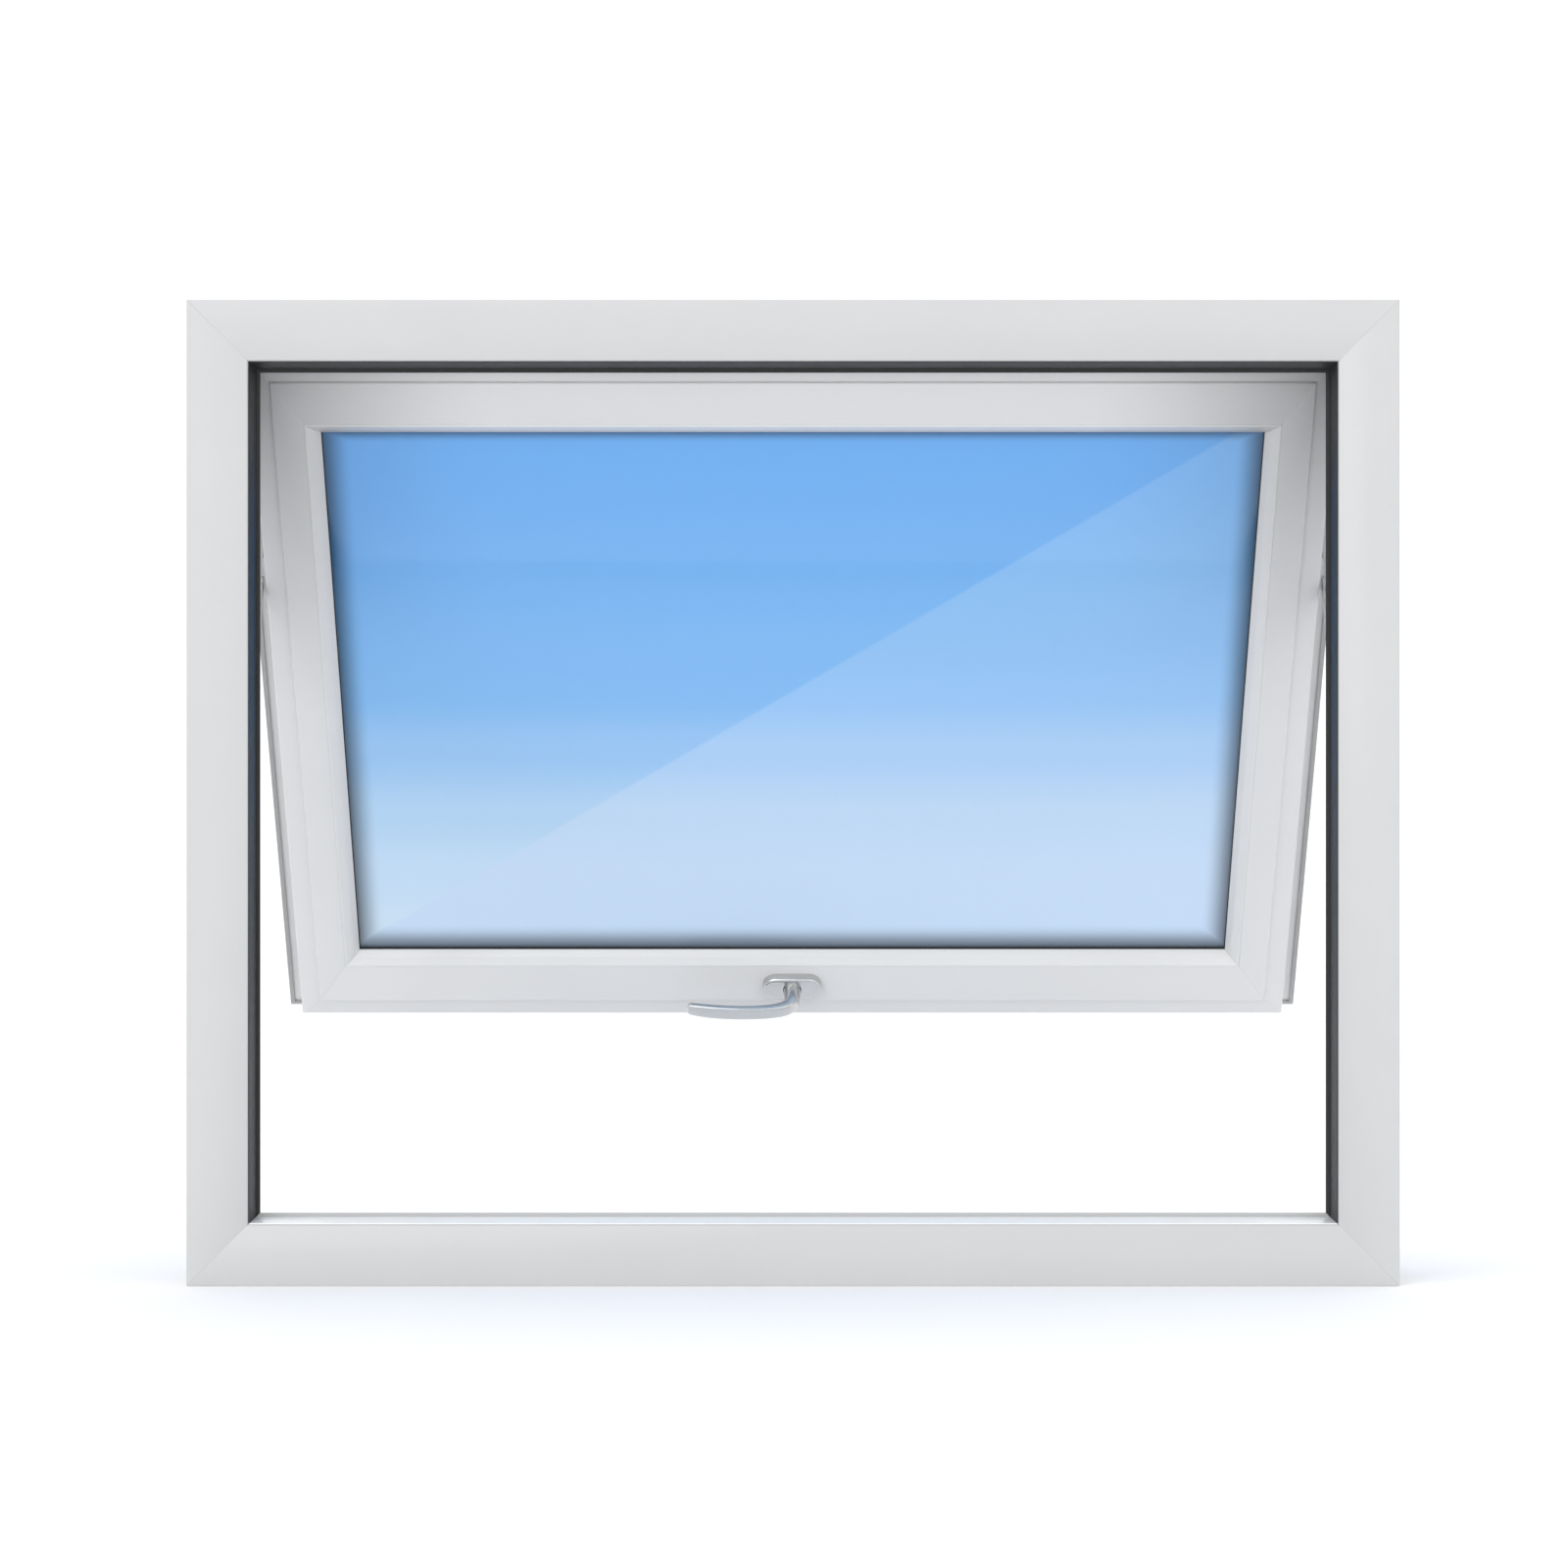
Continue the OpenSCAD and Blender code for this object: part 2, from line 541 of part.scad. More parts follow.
// Straight-sided tooth with backlash, about the pitch line at height 0, pointing up.
function tooth(w) = [[-w / 2 - 1.25 * gear_m * tan(20), -1.25 * gear_m],
  [-w / 2 + 0.9 * gear_m * tan(20), 0.9 * gear_m],
  [w / 2 - 0.9 * gear_m * tan(20), 0.9 * gear_m], [w / 2 + 1.25 * gear_m * tan(20), -1.25 * gear_m]];
tooth_w = PI * gear_m / 2 - 0.35;
module gear_outline() {
  root = pitch_r - 1.25 * gear_m;
  tip = pitch_r + 0.85 * gear_m;
  a = tooth_w / 2;
  circle(r = root + 0.05);
  for (i = [0:pinion_n - 1]) rotate(i * 360 / pinion_n)
    polygon([[-a - 0.42 * gear_m, root - 0.6], [-a, pitch_r], [-a + 0.55, tip],
      [a - 0.55, tip], [a, pitch_r], [a + 0.42 * gear_m, root - 0.6]]);
}
module pinion() {
  color([0.8, 0.66, 0.35]) opened() difference() {
    union() {
      translate([0, sash_y + rack_d[1], grip_z]) rotate([90, 0, 0])
        linear_extrude(height = rack_d[1] - rack_d[0]) gear_outline();
      bar_y(0, sash_y + case_d[0], sash_y + case_d[1], grip_z, hub_r);
    }
    block([-spindle_a / 2 - fit, sash_y, grip_z - spindle_a / 2 - fit],
      [spindle_a / 2 + fit, sash_y + sash_d, grip_z + spindle_a / 2 + fit]);
  }
}
// One drive rod, drawn for the right side: rack above the pinion, web and rod in the groove.
module drive_rod(up) {
  y0 = sash_y + rack_d[0];
  y1 = sash_y + rack_d[1];
  s = up ? 1 : -1;
  back = grip_z + s * rack_back;
  base = grip_z + s * (pitch_r + 1.25 * gear_m);
  p = PI * gear_m;
  color(steel) union() {
    translate([0, y1, grip_z + s * pitch_r]) rotate([90, 0, 0]) linear_extrude(height = y1 - y0)
      for (i = [-3.5:3.5]) translate([i * p, 0]) rotate(up ? 180 : 0) polygon(tooth(tooth_w));
    block([-4 * p, y0, min(back, base)], [web_x[1], y1, max(back, base)]);
    block([web_x[0], y0, sash_z0 + 0.5], [web_x[1], y1, max(back, base)]);
    difference() {
      block([web_x[0], sash_y + rod_d[0], sash_z0 + 0.5], [cam_x[1] + 14, sash_y + rod_d[1], sash_z0 + 3.5]);
      for (x = cam_x) bar_z(x, cam_y, sash_z0 - 1, sash_z0 + 4, cam_shaft_r + 0.05);
    }
  }
}
module drive_rod_right() { opened() drive_rod(true); }
module drive_rod_left() { opened() mirror([1, 0, 0]) drive_rod(false); }
cam_x = [230, 430];
cam_y = sash_y + (rod_d[0] + rod_d[1]) / 2;
cam_shaft_r = 3;
cam_r = 5.5;
face_t = 1.5;
module lock_cams() {
  for (x = cam_x) {
    bar_z(x, cam_y, sash_z0 - face_t - 0.5, sash_z0 + 3.5, cam_shaft_r);
    bar_z(x, cam_y, sash_z0 - 7.5, sash_z0 - face_t - 0.4, cam_r);
  }
}
module lock_cams_right() { color(satin) opened() lock_cams(); }
module lock_cams_left() { color(satin) opened() mirror([1, 0, 0]) lock_cams(); }
face_hx = cam_x[1] + travel + 40;
module lock_faceplate() {
  z = sash_z0;
  color(steel) opened() difference() {
    block([-face_hx, sash_y + groove_d0 - 1.5, z - face_t], [face_hx, sash_y + groove_d1 + 1.5, z]);
    for (m = [0, 1]) mirror([m, 0, 0]) {
      for (x = cam_x) {
        block([x, cam_y - cam_shaft_r - gap, z - 3], [x + travel, cam_y + cam_shaft_r + gap, z + 1]);
        for (e = [0, travel]) bar_z(x + e, cam_y, z - 3, z + 1, cam_shaft_r + gap);
      }
    }
  }
}
// Keeps on the sill: each has a lip that stops its cam from moving outwards.
keep_t = 2;
keep_screw_y = cam_y - 5;
keep_reach = [10, 34];                       // base before and after the cam's free place
keep_ends = [-keep_reach[0] + 5, keep_reach[1] - 5];
keep_screw_x = [for (m = [-1, 1]) for (x = cam_x) for (e = keep_ends) m * (x + e)];
module keep(x) {
  lip_y = cam_y + cam_r + 0.7;
  difference() {
    union() {
      block([x - keep_reach[0], cam_y - 10, jamb_web], [x + keep_reach[1], lip_y + 2.6, jamb_web + keep_t]);
      block([x + travel - 7, lip_y, jamb_web], [x + travel + 7, lip_y + 2.6, jamb_web + 9]);
    }
    for (e = keep_ends)
      bar_z(x + e, keep_screw_y, jamb_web - 1, jamb_web + 5, screw_r + screw_hole);
  }
}
module lock_keeps() { color(steel) for (m = [0, 1]) mirror([m, 0, 0]) for (x = cam_x) keep(x); }

// ---------- screws ----------
module pan_screw(l, r) {
  cylinder(h = l + 0.6, r = r - 0.05);
  translate([0, 0, l]) cylinder(h = 1.2, r = r + 1.6);
}
module frame_screws() {
  color(steel) {
    for (x = hinge_screw_x) translate([x, head_screw_y, frame_h - head_web + 7])
      rotate([180, 0, 0]) pan_screw(9.5, screw_r);
    for (x = keep_screw_x) translate([x, keep_screw_y, jamb_web - 7]) pan_screw(9, screw_r);
    for (m = [0, 1]) mirror([m, 0, 0]) for (z = track_screw_z)
      translate([wall_x + 8, axis_y, z]) rotate([0, -90, 0]) pan_screw(9.2, screw_r);
  }
}
module sash_screws() {
  color(steel) opened() {
    for (x = hinge_screw_x) translate([x, sash_screw_y, sash_z1 - 12]) pan_screw(14.4, screw_r);
    for (m = [0, 1]) mirror([m, 0, 0]) for (s = [-1, 1])
      translate([sash_hw - 8, axis_y - 3, axis_z - stay_len + s * 30]) rotate([0, 90, 0]) pan_screw(10, 1.5);
  }
}

// ---------- handle ----------
rosette_pitch = 43;
rosette_screw_r = 2.6;
rosette_h = 11;
collar_r = 10;
module stadium(l, w, h) {
  for (s = [-1, 1]) translate([s * (l - w) / 2, 0, 0]) cylinder(h = h, r = w / 2);
  translate([-(l - w) / 2, -w / 2, 0]) cube([l - w, w, h]);
}
module on_grip() { opened() translate([0, sash_y, grip_z]) rotate([90, 0, 0]) children(); }
module rosette_base() {
  color(black) on_grip() difference() {
    stadium(rosette_l - 4.4, rosette_w - 4.4, rosette_h - 2.2);
    translate([0, 0, -1]) cylinder(h = rosette_h, r = collar_r + gap);
    for (s = [-1, 1]) translate([s * rosette_pitch / 2, 0, -1]) {
      cylinder(h = rosette_h, r = rosette_screw_r);
      translate([0, 0, 5]) cylinder(h = rosette_h, r = 4.6);
    }
  }
}
module rosette_cover() {
  color(satin) on_grip() difference() {
    stadium(rosette_l, rosette_w, rosette_h);
    translate([0, 0, -1]) stadium(rosette_l - 4, rosette_w - 4, rosette_h - 1);
    cylinder(h = rosette_h + 1, r = collar_r + gap);
  }
}
module rosette_screws() {
  color(steel) on_grip() for (s = [-1, 1]) translate([s * rosette_pitch / 2, 0, 0]) {
    translate([0, 0, -groove_d0 - 2.4]) cylinder(h = groove_d0 + 7.5, r = 2.05);
    translate([0, 0, 5]) cylinder(h = 2.6, r = 4.3);
  }
}
// The grip bows away from the sash and returns at its tip.
bow_r = 190;
grip_t = 9;
grip_w = 14;
bow_x = 62;
function bow_y(x, r) = lever_out - bow_r + sqrt(r * r - pow(x + bow_x, 2));
module lever() {
  n = 14;
  x1 = collar_r - 1;
  x0 = -lever_l;
  outer = [for (i = [0:n]) let (x = x0 + (x1 - x0) * i / n) [x, bow_y(x, bow_r + grip_t / 2)]];
  inner = [for (i = [n:-1:0]) let (x = x0 + (x1 - x0) * i / n) [x, bow_y(x, bow_r - grip_t / 2)]];
  color(satin) on_grip() difference() {
    union() {
      translate([0, 0, 1]) cylinder(h = lever_out - 12, r = collar_r);
      rotate([90, 0, 0]) linear_extrude(height = grip_w, center = true) polygon(concat(outer, inner));
      intersection() {
        translate([-collar_r, -grip_w / 2, 30]) cube([2 * collar_r, grip_w, 20]);
        rotate([90, 0, 0]) linear_extrude(height = 40, center = true)
          polygon([[-collar_r, 30], [x1, 30], [x1, bow_y(x1, bow_r)], [-collar_r, bow_y(-collar_r, bow_r)]]);
      }
    }
    translate([-spindle_a / 2 - fit, -spindle_a / 2 - fit, -1])
      cube([spindle_a + 2 * fit, spindle_a + 2 * fit, 27]);
  }
}
module spindle() {
  l = case_d[1] + 25;
  color(steel) on_grip() translate([-spindle_a / 2, -spindle_a / 2, -case_d[1]])
    cube([spindle_a, spindle_a, l]);
}

frame_head();
frame_sill();
frame_jamb_left();
frame_jamb_right();
frame_steel();
reveal_trim_head();
reveal_trim_left();
reveal_trim_right();
reveal_trim_sill();
frame_seal();
head_hinge_rail();
head_drip();
outer_sill();
outer_sill_caps();
stay_track_left();
stay_track_right();
lock_keeps();
frame_screws();
sash_top_rail();
sash_bottom_rail();
sash_stile_left();
sash_stile_right();
sash_steel();
bead_top();
bead_bottom();
bead_left();
bead_right();
pane_inner();
pane_outer();
glass_spacer();
edge_sealant();
bead_gasket();
outer_gasket();
glazing_packers();
sash_seal();
sash_hinge_rail();
stay_bracket_left();
stay_bracket_right();
sash_screws();
gearbox_case();
gearbox_cover();
lock_faceplate();
rosette_base();
rosette_cover();
rosette_screws();
lever();
spindle();
pinion();
drive_rod_left();
drive_rod_right();
lock_cams_left();
lock_cams_right();
stay_arm_left();
stay_arm_right();
stay_shoe_left();
stay_shoe_right();
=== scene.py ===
"""A top-hung window with a lever handle, dressed piece by piece round its frame."""
import json
import math

import bmesh
import bpy
import numpy as np
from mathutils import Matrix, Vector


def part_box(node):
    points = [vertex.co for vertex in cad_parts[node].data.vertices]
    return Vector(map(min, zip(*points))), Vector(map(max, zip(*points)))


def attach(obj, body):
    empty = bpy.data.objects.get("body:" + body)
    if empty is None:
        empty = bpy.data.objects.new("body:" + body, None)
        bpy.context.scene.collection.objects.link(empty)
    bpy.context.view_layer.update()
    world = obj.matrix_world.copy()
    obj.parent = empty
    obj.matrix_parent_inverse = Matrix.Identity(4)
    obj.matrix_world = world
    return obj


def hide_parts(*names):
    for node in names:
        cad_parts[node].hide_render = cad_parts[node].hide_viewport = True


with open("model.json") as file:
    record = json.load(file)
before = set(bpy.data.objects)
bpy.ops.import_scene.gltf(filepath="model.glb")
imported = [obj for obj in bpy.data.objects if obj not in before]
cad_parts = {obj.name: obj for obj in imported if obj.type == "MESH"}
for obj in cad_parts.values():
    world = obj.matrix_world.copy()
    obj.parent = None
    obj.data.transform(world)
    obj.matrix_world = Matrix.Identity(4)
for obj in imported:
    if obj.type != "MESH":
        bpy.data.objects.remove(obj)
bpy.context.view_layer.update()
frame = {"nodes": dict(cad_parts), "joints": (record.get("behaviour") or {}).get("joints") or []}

# ---- Outer frame -------------------------------------------------------------
# Four bars of white extruded plastic, a wide nose on the room side and a rebate
# behind it, mitred and welded at the corners and drilled for the wall fixings.
MM = 0.001
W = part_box("frame_head")[1][0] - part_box("frame_head")[0][0]
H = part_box("frame_head")[1][2]
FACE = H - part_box("frame_head")[0][2]
ROOM_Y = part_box("frame_head")[0][1]
OUT_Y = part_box("frame_sill")[1][1]
NOSE_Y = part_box("frame_seal")[0][1]
JAMB_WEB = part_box("stay_track_left")[0][0] + W / 2
HEAD_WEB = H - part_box("head_hinge_rail")[1][2]
FIXING_R = 3.1 * MM
FIXING_Y = 16 * MM
FIXING_OFFSETS = {"left": 300 * MM, "right": 300 * MM, "top": 400 * MM}
DRILL_PAST, DRILL_SIDES = 5 * MM, 32
WELD = 0.35 * MM
LEAST_ROUND = 0.05 * MM
BAR_FOLD = 35


def new_mesh(name, verts, faces, smooth_angle):
    """A mesh object from whole arrays of points and faces, shaded smooth except at folds sharper than
    the angle, in degrees."""
    mesh = bpy.data.meshes.new(name)
    mesh.from_pydata(np.asarray(verts).tolist(), [], [list(f) for f in faces])
    mesh.update()
    mesh.shade_smooth()
    mesh.set_sharp_from_angle(angle=math.radians(smooth_angle))
    obj = bpy.data.objects.new(name, mesh)
    bpy.context.scene.collection.objects.link(obj)
    return obj


def face_out(obj):
    """Turns every face of a closed piece outwards: all one way round, then all turned over where the
    volume that they enclose comes out negative."""
    shape = bmesh.new()
    shape.from_mesh(obj.data)
    bmesh.ops.recalc_face_normals(shape, faces=shape.faces)
    if shape.calc_volume(signed=True) < 0:
        bmesh.ops.reverse_faces(shape, faces=shape.faces)
    shape.to_mesh(obj.data)
    shape.free()
    return obj


def eased(points, radius, steps=4):
    """A closed outline whose corners become arcs that are tangent to both sides. An arc of radius r
    starts r / tan(half the corner's angle) before the corner, at most 45% of the shorter side."""
    p = np.asarray(points, float)
    r = np.maximum(np.broadcast_to(radius, len(p)).astype(float), LEAST_ROUND)
    a, b = np.roll(p, 1, 0) - p, np.roll(p, -1, 0) - p
    la, lb = np.linalg.norm(a, axis=1), np.linalg.norm(b, axis=1)
    a, b = a / la[:, None], b / lb[:, None]
    half = np.arccos(np.clip(np.sum(a * b, 1), -1, 1)) / 2
    reach = np.minimum(r / np.tan(half), 0.45 * np.minimum(la, lb))
    mid = (a + b) / np.linalg.norm(a + b, axis=1)[:, None]
    centre = p + mid * (reach * np.tan(half) / np.sin(half))[:, None]
    start, end = p + a * reach[:, None] - centre, p + b * reach[:, None] - centre
    turn = np.arctan2(start[:, 0] * end[:, 1] - start[:, 1] * end[:, 0], np.sum(start * end, 1))
    t = turn[:, None] * np.linspace(0, 1, steps + 1)
    c, s = np.cos(t), np.sin(t)
    x = centre[:, :1] + start[:, :1] * c - start[:, 1:] * s
    y = centre[:, 1:] + start[:, :1] * s + start[:, 1:] * c
    return np.stack([x, y], -1).reshape(-1, 2)


def outline_normals(outline):
    """Outward unit normals of a closed outline: the mean of the two sides' normals at each point."""
    ahead = np.roll(outline, -1, 0) - outline
    side = np.column_stack([ahead[:, 1], -ahead[:, 0]])
    side /= np.maximum(np.linalg.norm(side, axis=1, keepdims=True), 1e-12)
    mean = side + np.roll(side, 1, 0)
    mean /= np.maximum(np.linalg.norm(mean, axis=1, keepdims=True), 1e-12)
    x, y = outline[:, 0], outline[:, 1]
    area = np.sum(x * np.roll(y, -1) - y * np.roll(x, -1))
    return mean if area > 0 else -mean


def tube_faces(rings, count, capped=True):
    """Quads between neighbouring rings of count points, with the first and last ring as end faces."""
    i = np.arange(rings - 1)[:, None] * count
    j = np.arange(count)[None, :]
    k = (j + 1) % count
    faces = np.stack([i + j, i + k, i + count + k, i + count + j], -1).reshape(-1, 4).tolist()
    if capped:
        faces += [list(range(count))[::-1], list(range((rings - 1) * count, rings * count))]
    return faces


def mitred_bar(name, outline, side, rect, cuts, weld=WELD):
    """One bar of the rectangle rect = (half width, low z, high z). A point (u, y) of the outline lies u
    in from the rectangle's edge, and runs along it from cuts[0](u) past one corner to cuts[1](u) short
    of the other. The end rings are drawn in by weld, so the seam between two bars is a fine groove."""
    half, low, high = rect
    inset = outline - outline_normals(outline) * weld
    rings = []
    for shape, cut, back, far in [
        (inset, cuts[0], 0, False),
        (outline, cuts[0], 2 * weld, False),
        (outline, cuts[1], 2 * weld, True),
        (inset, cuts[1], 0, True),
    ]:
        u, y = shape[:, 0], shape[:, 1]
        along = cut(u) + back
        if side in ("bottom", "top"):
            x = half - along if far else along - half
            z = low + u if side == "bottom" else high - u
        else:
            x = u - half if side == "left" else half - u
            z = high - along if far else low + along
        rings.append(np.column_stack([x, y, z]))
    return face_out(new_mesh(name, np.vstack(rings), tube_faces(4, len(outline)), BAR_FOLD))


def drill(obj, holes):
    """Cuts round holes: each is (start, end, radius), a tube whose rings are the start and end plus
    radius times (cos t, sin t) across its line. The result replaces the piece's mesh."""
    t = np.linspace(0, 2 * math.pi, DRILL_SIDES, endpoint=False)
    verts, faces = [], []
    for start, end, radius in holes:
        line = np.subtract(end, start) / np.linalg.norm(np.subtract(end, start))
        a = np.cross(line, [0, 1, 0])
        ring = radius * (np.outer(np.cos(t), a) + np.outer(np.sin(t), np.cross(line, a)))
        faces += [(np.array(f) + DRILL_SIDES * len(verts)).tolist() for f in tube_faces(2, DRILL_SIDES)]
        verts += [ring + start, ring + end]
    bit = face_out(new_mesh("drill_bit", np.vstack(verts), faces, BAR_FOLD))
    cut = obj.modifiers.new("drill", "BOOLEAN")
    cut.object, cut.operation, cut.solver = bit, "DIFFERENCE", "EXACT"
    drilled = bpy.data.meshes.new_from_object(obj.evaluated_get(bpy.context.evaluated_depsgraph_get()))
    obj.modifiers.remove(cut)
    obj.data = drilled
    bpy.data.objects.remove(bit)
    drilled.set_sharp_from_angle(angle=math.radians(BAR_FOLD))


def square_mitre(u):
    """A 45 degree mitre: the cut runs as far along as the section reaches in."""
    return np.asarray(u, float)


def effect(name, inputs, outputs):
    """An empty node group with number inputs (name, value) and named outputs."""
    tree = bpy.data.node_groups.new(name, "ShaderNodeTree")
    for label, value in inputs:
        s = tree.interface.new_socket(label, in_out="INPUT", socket_type="NodeSocketFloat")
        s.default_value = value
    for label in outputs:
        tree.interface.new_socket(label, in_out="OUTPUT", socket_type="NodeSocketFloat")
    return tree, tree.nodes.new("NodeGroupInput"), tree.nodes.new("NodeGroupOutput")


def noise(tree, where, scale, detail=4.0, rough=0.55):
    """A noise texture on the given coordinates."""
    n = tree.nodes.new("ShaderNodeTexNoise")
    tree.links.new(where, n.inputs["Vector"])
    n.inputs["Detail"].default_value = detail
    n.inputs["Roughness"].default_value = rough
    if isinstance(scale, (int, float)):
        n.inputs["Scale"].default_value = scale
    else:
        tree.links.new(scale, n.inputs["Scale"])
    return n


def math_node(tree, what, a, b=None, clamp=False):
    """One arithmetic node; a and b are sockets or numbers."""
    n = tree.nodes.new("ShaderNodeMath")
    n.operation = what
    n.use_clamp = clamp
    for i, v in enumerate([a, b]):
        if v is None:
            continue
        if isinstance(v, (int, float)):
            n.inputs[i].default_value = v
        else:
            tree.links.new(v, n.inputs[i])
    return n.outputs[0]


grain, g_in, g_out = effect("grain", [("Scale", 900.0)], ["Height"])
coord = grain.nodes.new("ShaderNodeTexCoord")
fine = noise(grain, coord.outputs["Object"], g_in.outputs["Scale"], 3.0)
grain.links.new(fine.outputs["Fac"], g_out.inputs["Height"])

blotch, b_in, b_out = effect("blotch", [("Scale", 9.0), ("Contrast", 1.0)], ["Mask"])
coord = blotch.nodes.new("ShaderNodeTexCoord")
slow = noise(blotch, coord.outputs["Object"], b_in.outputs["Scale"], 5.0, 0.6)
centred = math_node(blotch, "SUBTRACT", slow.outputs["Fac"], 0.5)
scaled = math_node(blotch, "MULTIPLY", centred, b_in.outputs["Contrast"])
blotch.links.new(math_node(blotch, "ADD", scaled, 0.5, True), b_out.inputs["Mask"])

COAT_ROUGHNESS, BUMP_HEIGHT = 0.15, 0.6 * MM
axes = ["Along X", "Along Y", "Along Z"]
drawn, d_in, d_out = effect("drawn_lines", [(a, 900.0) for a in axes], ["Height"])
coord = drawn.nodes.new("ShaderNodeTexCoord")
scale_xyz = drawn.nodes.new("ShaderNodeCombineXYZ")
for i, label in enumerate(axes):
    drawn.links.new(d_in.outputs[label], scale_xyz.inputs[i])
times = drawn.nodes.new("ShaderNodeVectorMath")
times.operation = "MULTIPLY"
drawn.links.new(coord.outputs["Object"], times.inputs[0])
drawn.links.new(scale_xyz.outputs[0], times.inputs[1])
lines = noise(drawn, times.outputs[0], 1.0, 3.0)
drawn.links.new(lines.outputs["Fac"], d_out.inputs["Height"])


def surface_finish(name, tones, rough, metallic=0.0, blotches=(9.0, 1.2), lift=0.05, grain_size=900.0,
                   lines=None, coat=0.0):
    """A finish whose colour and roughness drift together between two values over soft blotches
    (scale, contrast), with a shallow bump of grain or, where lines are given, of drawn lines."""
    mat = bpy.data.materials.new(name)
    mat.use_nodes = True
    tree = mat.node_tree
    shader = tree.nodes["Principled BSDF"]
    shader.inputs["Metallic"].default_value = metallic
    shader.inputs["Coat Weight"].default_value = coat
    shader.inputs["Coat Roughness"].default_value = COAT_ROUGHNESS
    mask = tree.nodes.new("ShaderNodeGroup")
    mask.node_tree = blotch
    mask.inputs["Scale"].default_value, mask.inputs["Contrast"].default_value = blotches
    mix = tree.nodes.new("ShaderNodeMix")
    mix.data_type = "RGBA"
    mix.inputs[6].default_value = (*tones[0], 1)
    mix.inputs[7].default_value = (*tones[1], 1)
    tree.links.new(mask.outputs["Mask"], mix.inputs[0])
    tree.links.new(mix.outputs[2], shader.inputs["Base Color"])
    span = tree.nodes.new("ShaderNodeMapRange")
    span.inputs["To Min"].default_value, span.inputs["To Max"].default_value = rough
    tree.links.new(mask.outputs["Mask"], span.inputs["Value"])
    tree.links.new(span.outputs["Result"], shader.inputs["Roughness"])
    relief = tree.nodes.new("ShaderNodeGroup")
    relief.node_tree = drawn if lines else grain
    for label, value in zip(axes, lines) if lines else [("Scale", grain_size)]:
        relief.inputs[label].default_value = value
    bump = tree.nodes.new("ShaderNodeBump")
    bump.inputs["Strength"].default_value = lift
    bump.inputs["Distance"].default_value = BUMP_HEIGHT
    tree.links.new(relief.outputs["Height"], bump.inputs["Height"])
    tree.links.new(bump.outputs["Normal"], shader.inputs["Normal"])
    return mat


def fit(piece, material, body, node):
    """Gives a new piece its material, and puts it on its body in place of its plain node."""
    piece.data.materials.append(material)
    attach(piece, body)
    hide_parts(node)


# Drawn lines per metre along X, Y and Z, for the bars that lie and the bars that stand.
LINES_X, LINES_Z = (2.0, 420.0, 420.0), (420.0, 420.0, 2.0)
# The frame's white is painted darker than the sash's, though both are one plastic: painted shade on the
# frame and painted light on the sash, evening out how the light falls on each.
FRAME_WHITE, PLASTIC_ROUGHNESS, PLASTIC_COAT = [(0.535, 0.537, 0.54), (0.56, 0.56, 0.56)], (0.3, 0.42), 0.12
frame_white_x, frame_white_z = [
    surface_finish("frame_white_" + way, FRAME_WHITE, PLASTIC_ROUGHNESS, lines=lines, coat=PLASTIC_COAT)
    for way, lines in [("x", LINES_X), ("z", LINES_Z)]
]
FRAME_BARS = {
    "bottom": ("frame_sill", JAMB_WEB),
    "top": ("frame_head", HEAD_WEB),
    "left": ("frame_jamb_left", JAMB_WEB),
    "right": ("frame_jamb_right", JAMB_WEB),
}
for side, (node, web) in FRAME_BARS.items():
    corners = [(0, ROOM_Y), (FACE, ROOM_Y), (FACE, NOSE_Y), (web, NOSE_Y), (web, OUT_Y), (0, OUT_Y)]
    section = eased(corners, np.array([1.2, 2.2, 1.5, 1.0, 1.5, 1.2]) * MM)
    piece = mitred_bar("bar_" + node, section, side, (W / 2, 0, H), (square_mitre, square_mitre))
    off = FIXING_OFFSETS.get(side)
    if side == "top":
        low, high = H - web - DRILL_PAST, H + DRILL_PAST
        drill(piece, [((x, FIXING_Y, low), (x, FIXING_Y, high), FIXING_R) for x in (-off, off)])
    elif off:
        sx = -1 if side == "left" else 1
        a, b = sx * (W / 2 + DRILL_PAST), sx * (W / 2 - web - DRILL_PAST)
        drill(piece, [((a, FIXING_Y, z), (b, FIXING_Y, z), FIXING_R) for z in (H / 2 - off, H / 2 + off)])
    fit(piece, frame_white_x if side in ("bottom", "top") else frame_white_z, "frame", node)

# ---- Frame steel and screws --------------------------------------------------
# Galvanised channels stiffen the frame's chambers, and zinc-plated pan-head
# screws hold the hinge, the stay tracks and the keeps to it.


def dress(material, *nodes):
    """Gives carried-over nodes their finish."""
    for name in nodes:
        mesh = frame["nodes"][name].data
        mesh.materials.clear()
        mesh.materials.append(material)


galvanised = surface_finish(
    "galvanised_steel", [(0.42, 0.43, 0.45), (0.62, 0.63, 0.65)], (0.38, 0.55), 1.0, (140.0, 2.2), 0.1, 600.0
)
zinc = surface_finish(
    "zinc_plate", [(0.52, 0.53, 0.55), (0.68, 0.67, 0.64)], (0.26, 0.42), 1.0, (60.0, 1.6), 0.08, 1500.0
)
dress(galvanised, "frame_steel")
dress(zinc, "frame_screws")

# ---- Reveal trims ------------------------------------------------------------
# Tapered plastic strips clipped into the opening, a millimetre thick in front and
# five at the back: painted black at the head and the sides, a dark colour put where
# there is shade, and white on the sill, as painted light where it catches the light.
TRIM_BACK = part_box("reveal_trim_left")[1][0] + W / 2
TRIM_FRONT = FACE + 1 * MM
TRIM_SET_BACK = 1.5 * MM
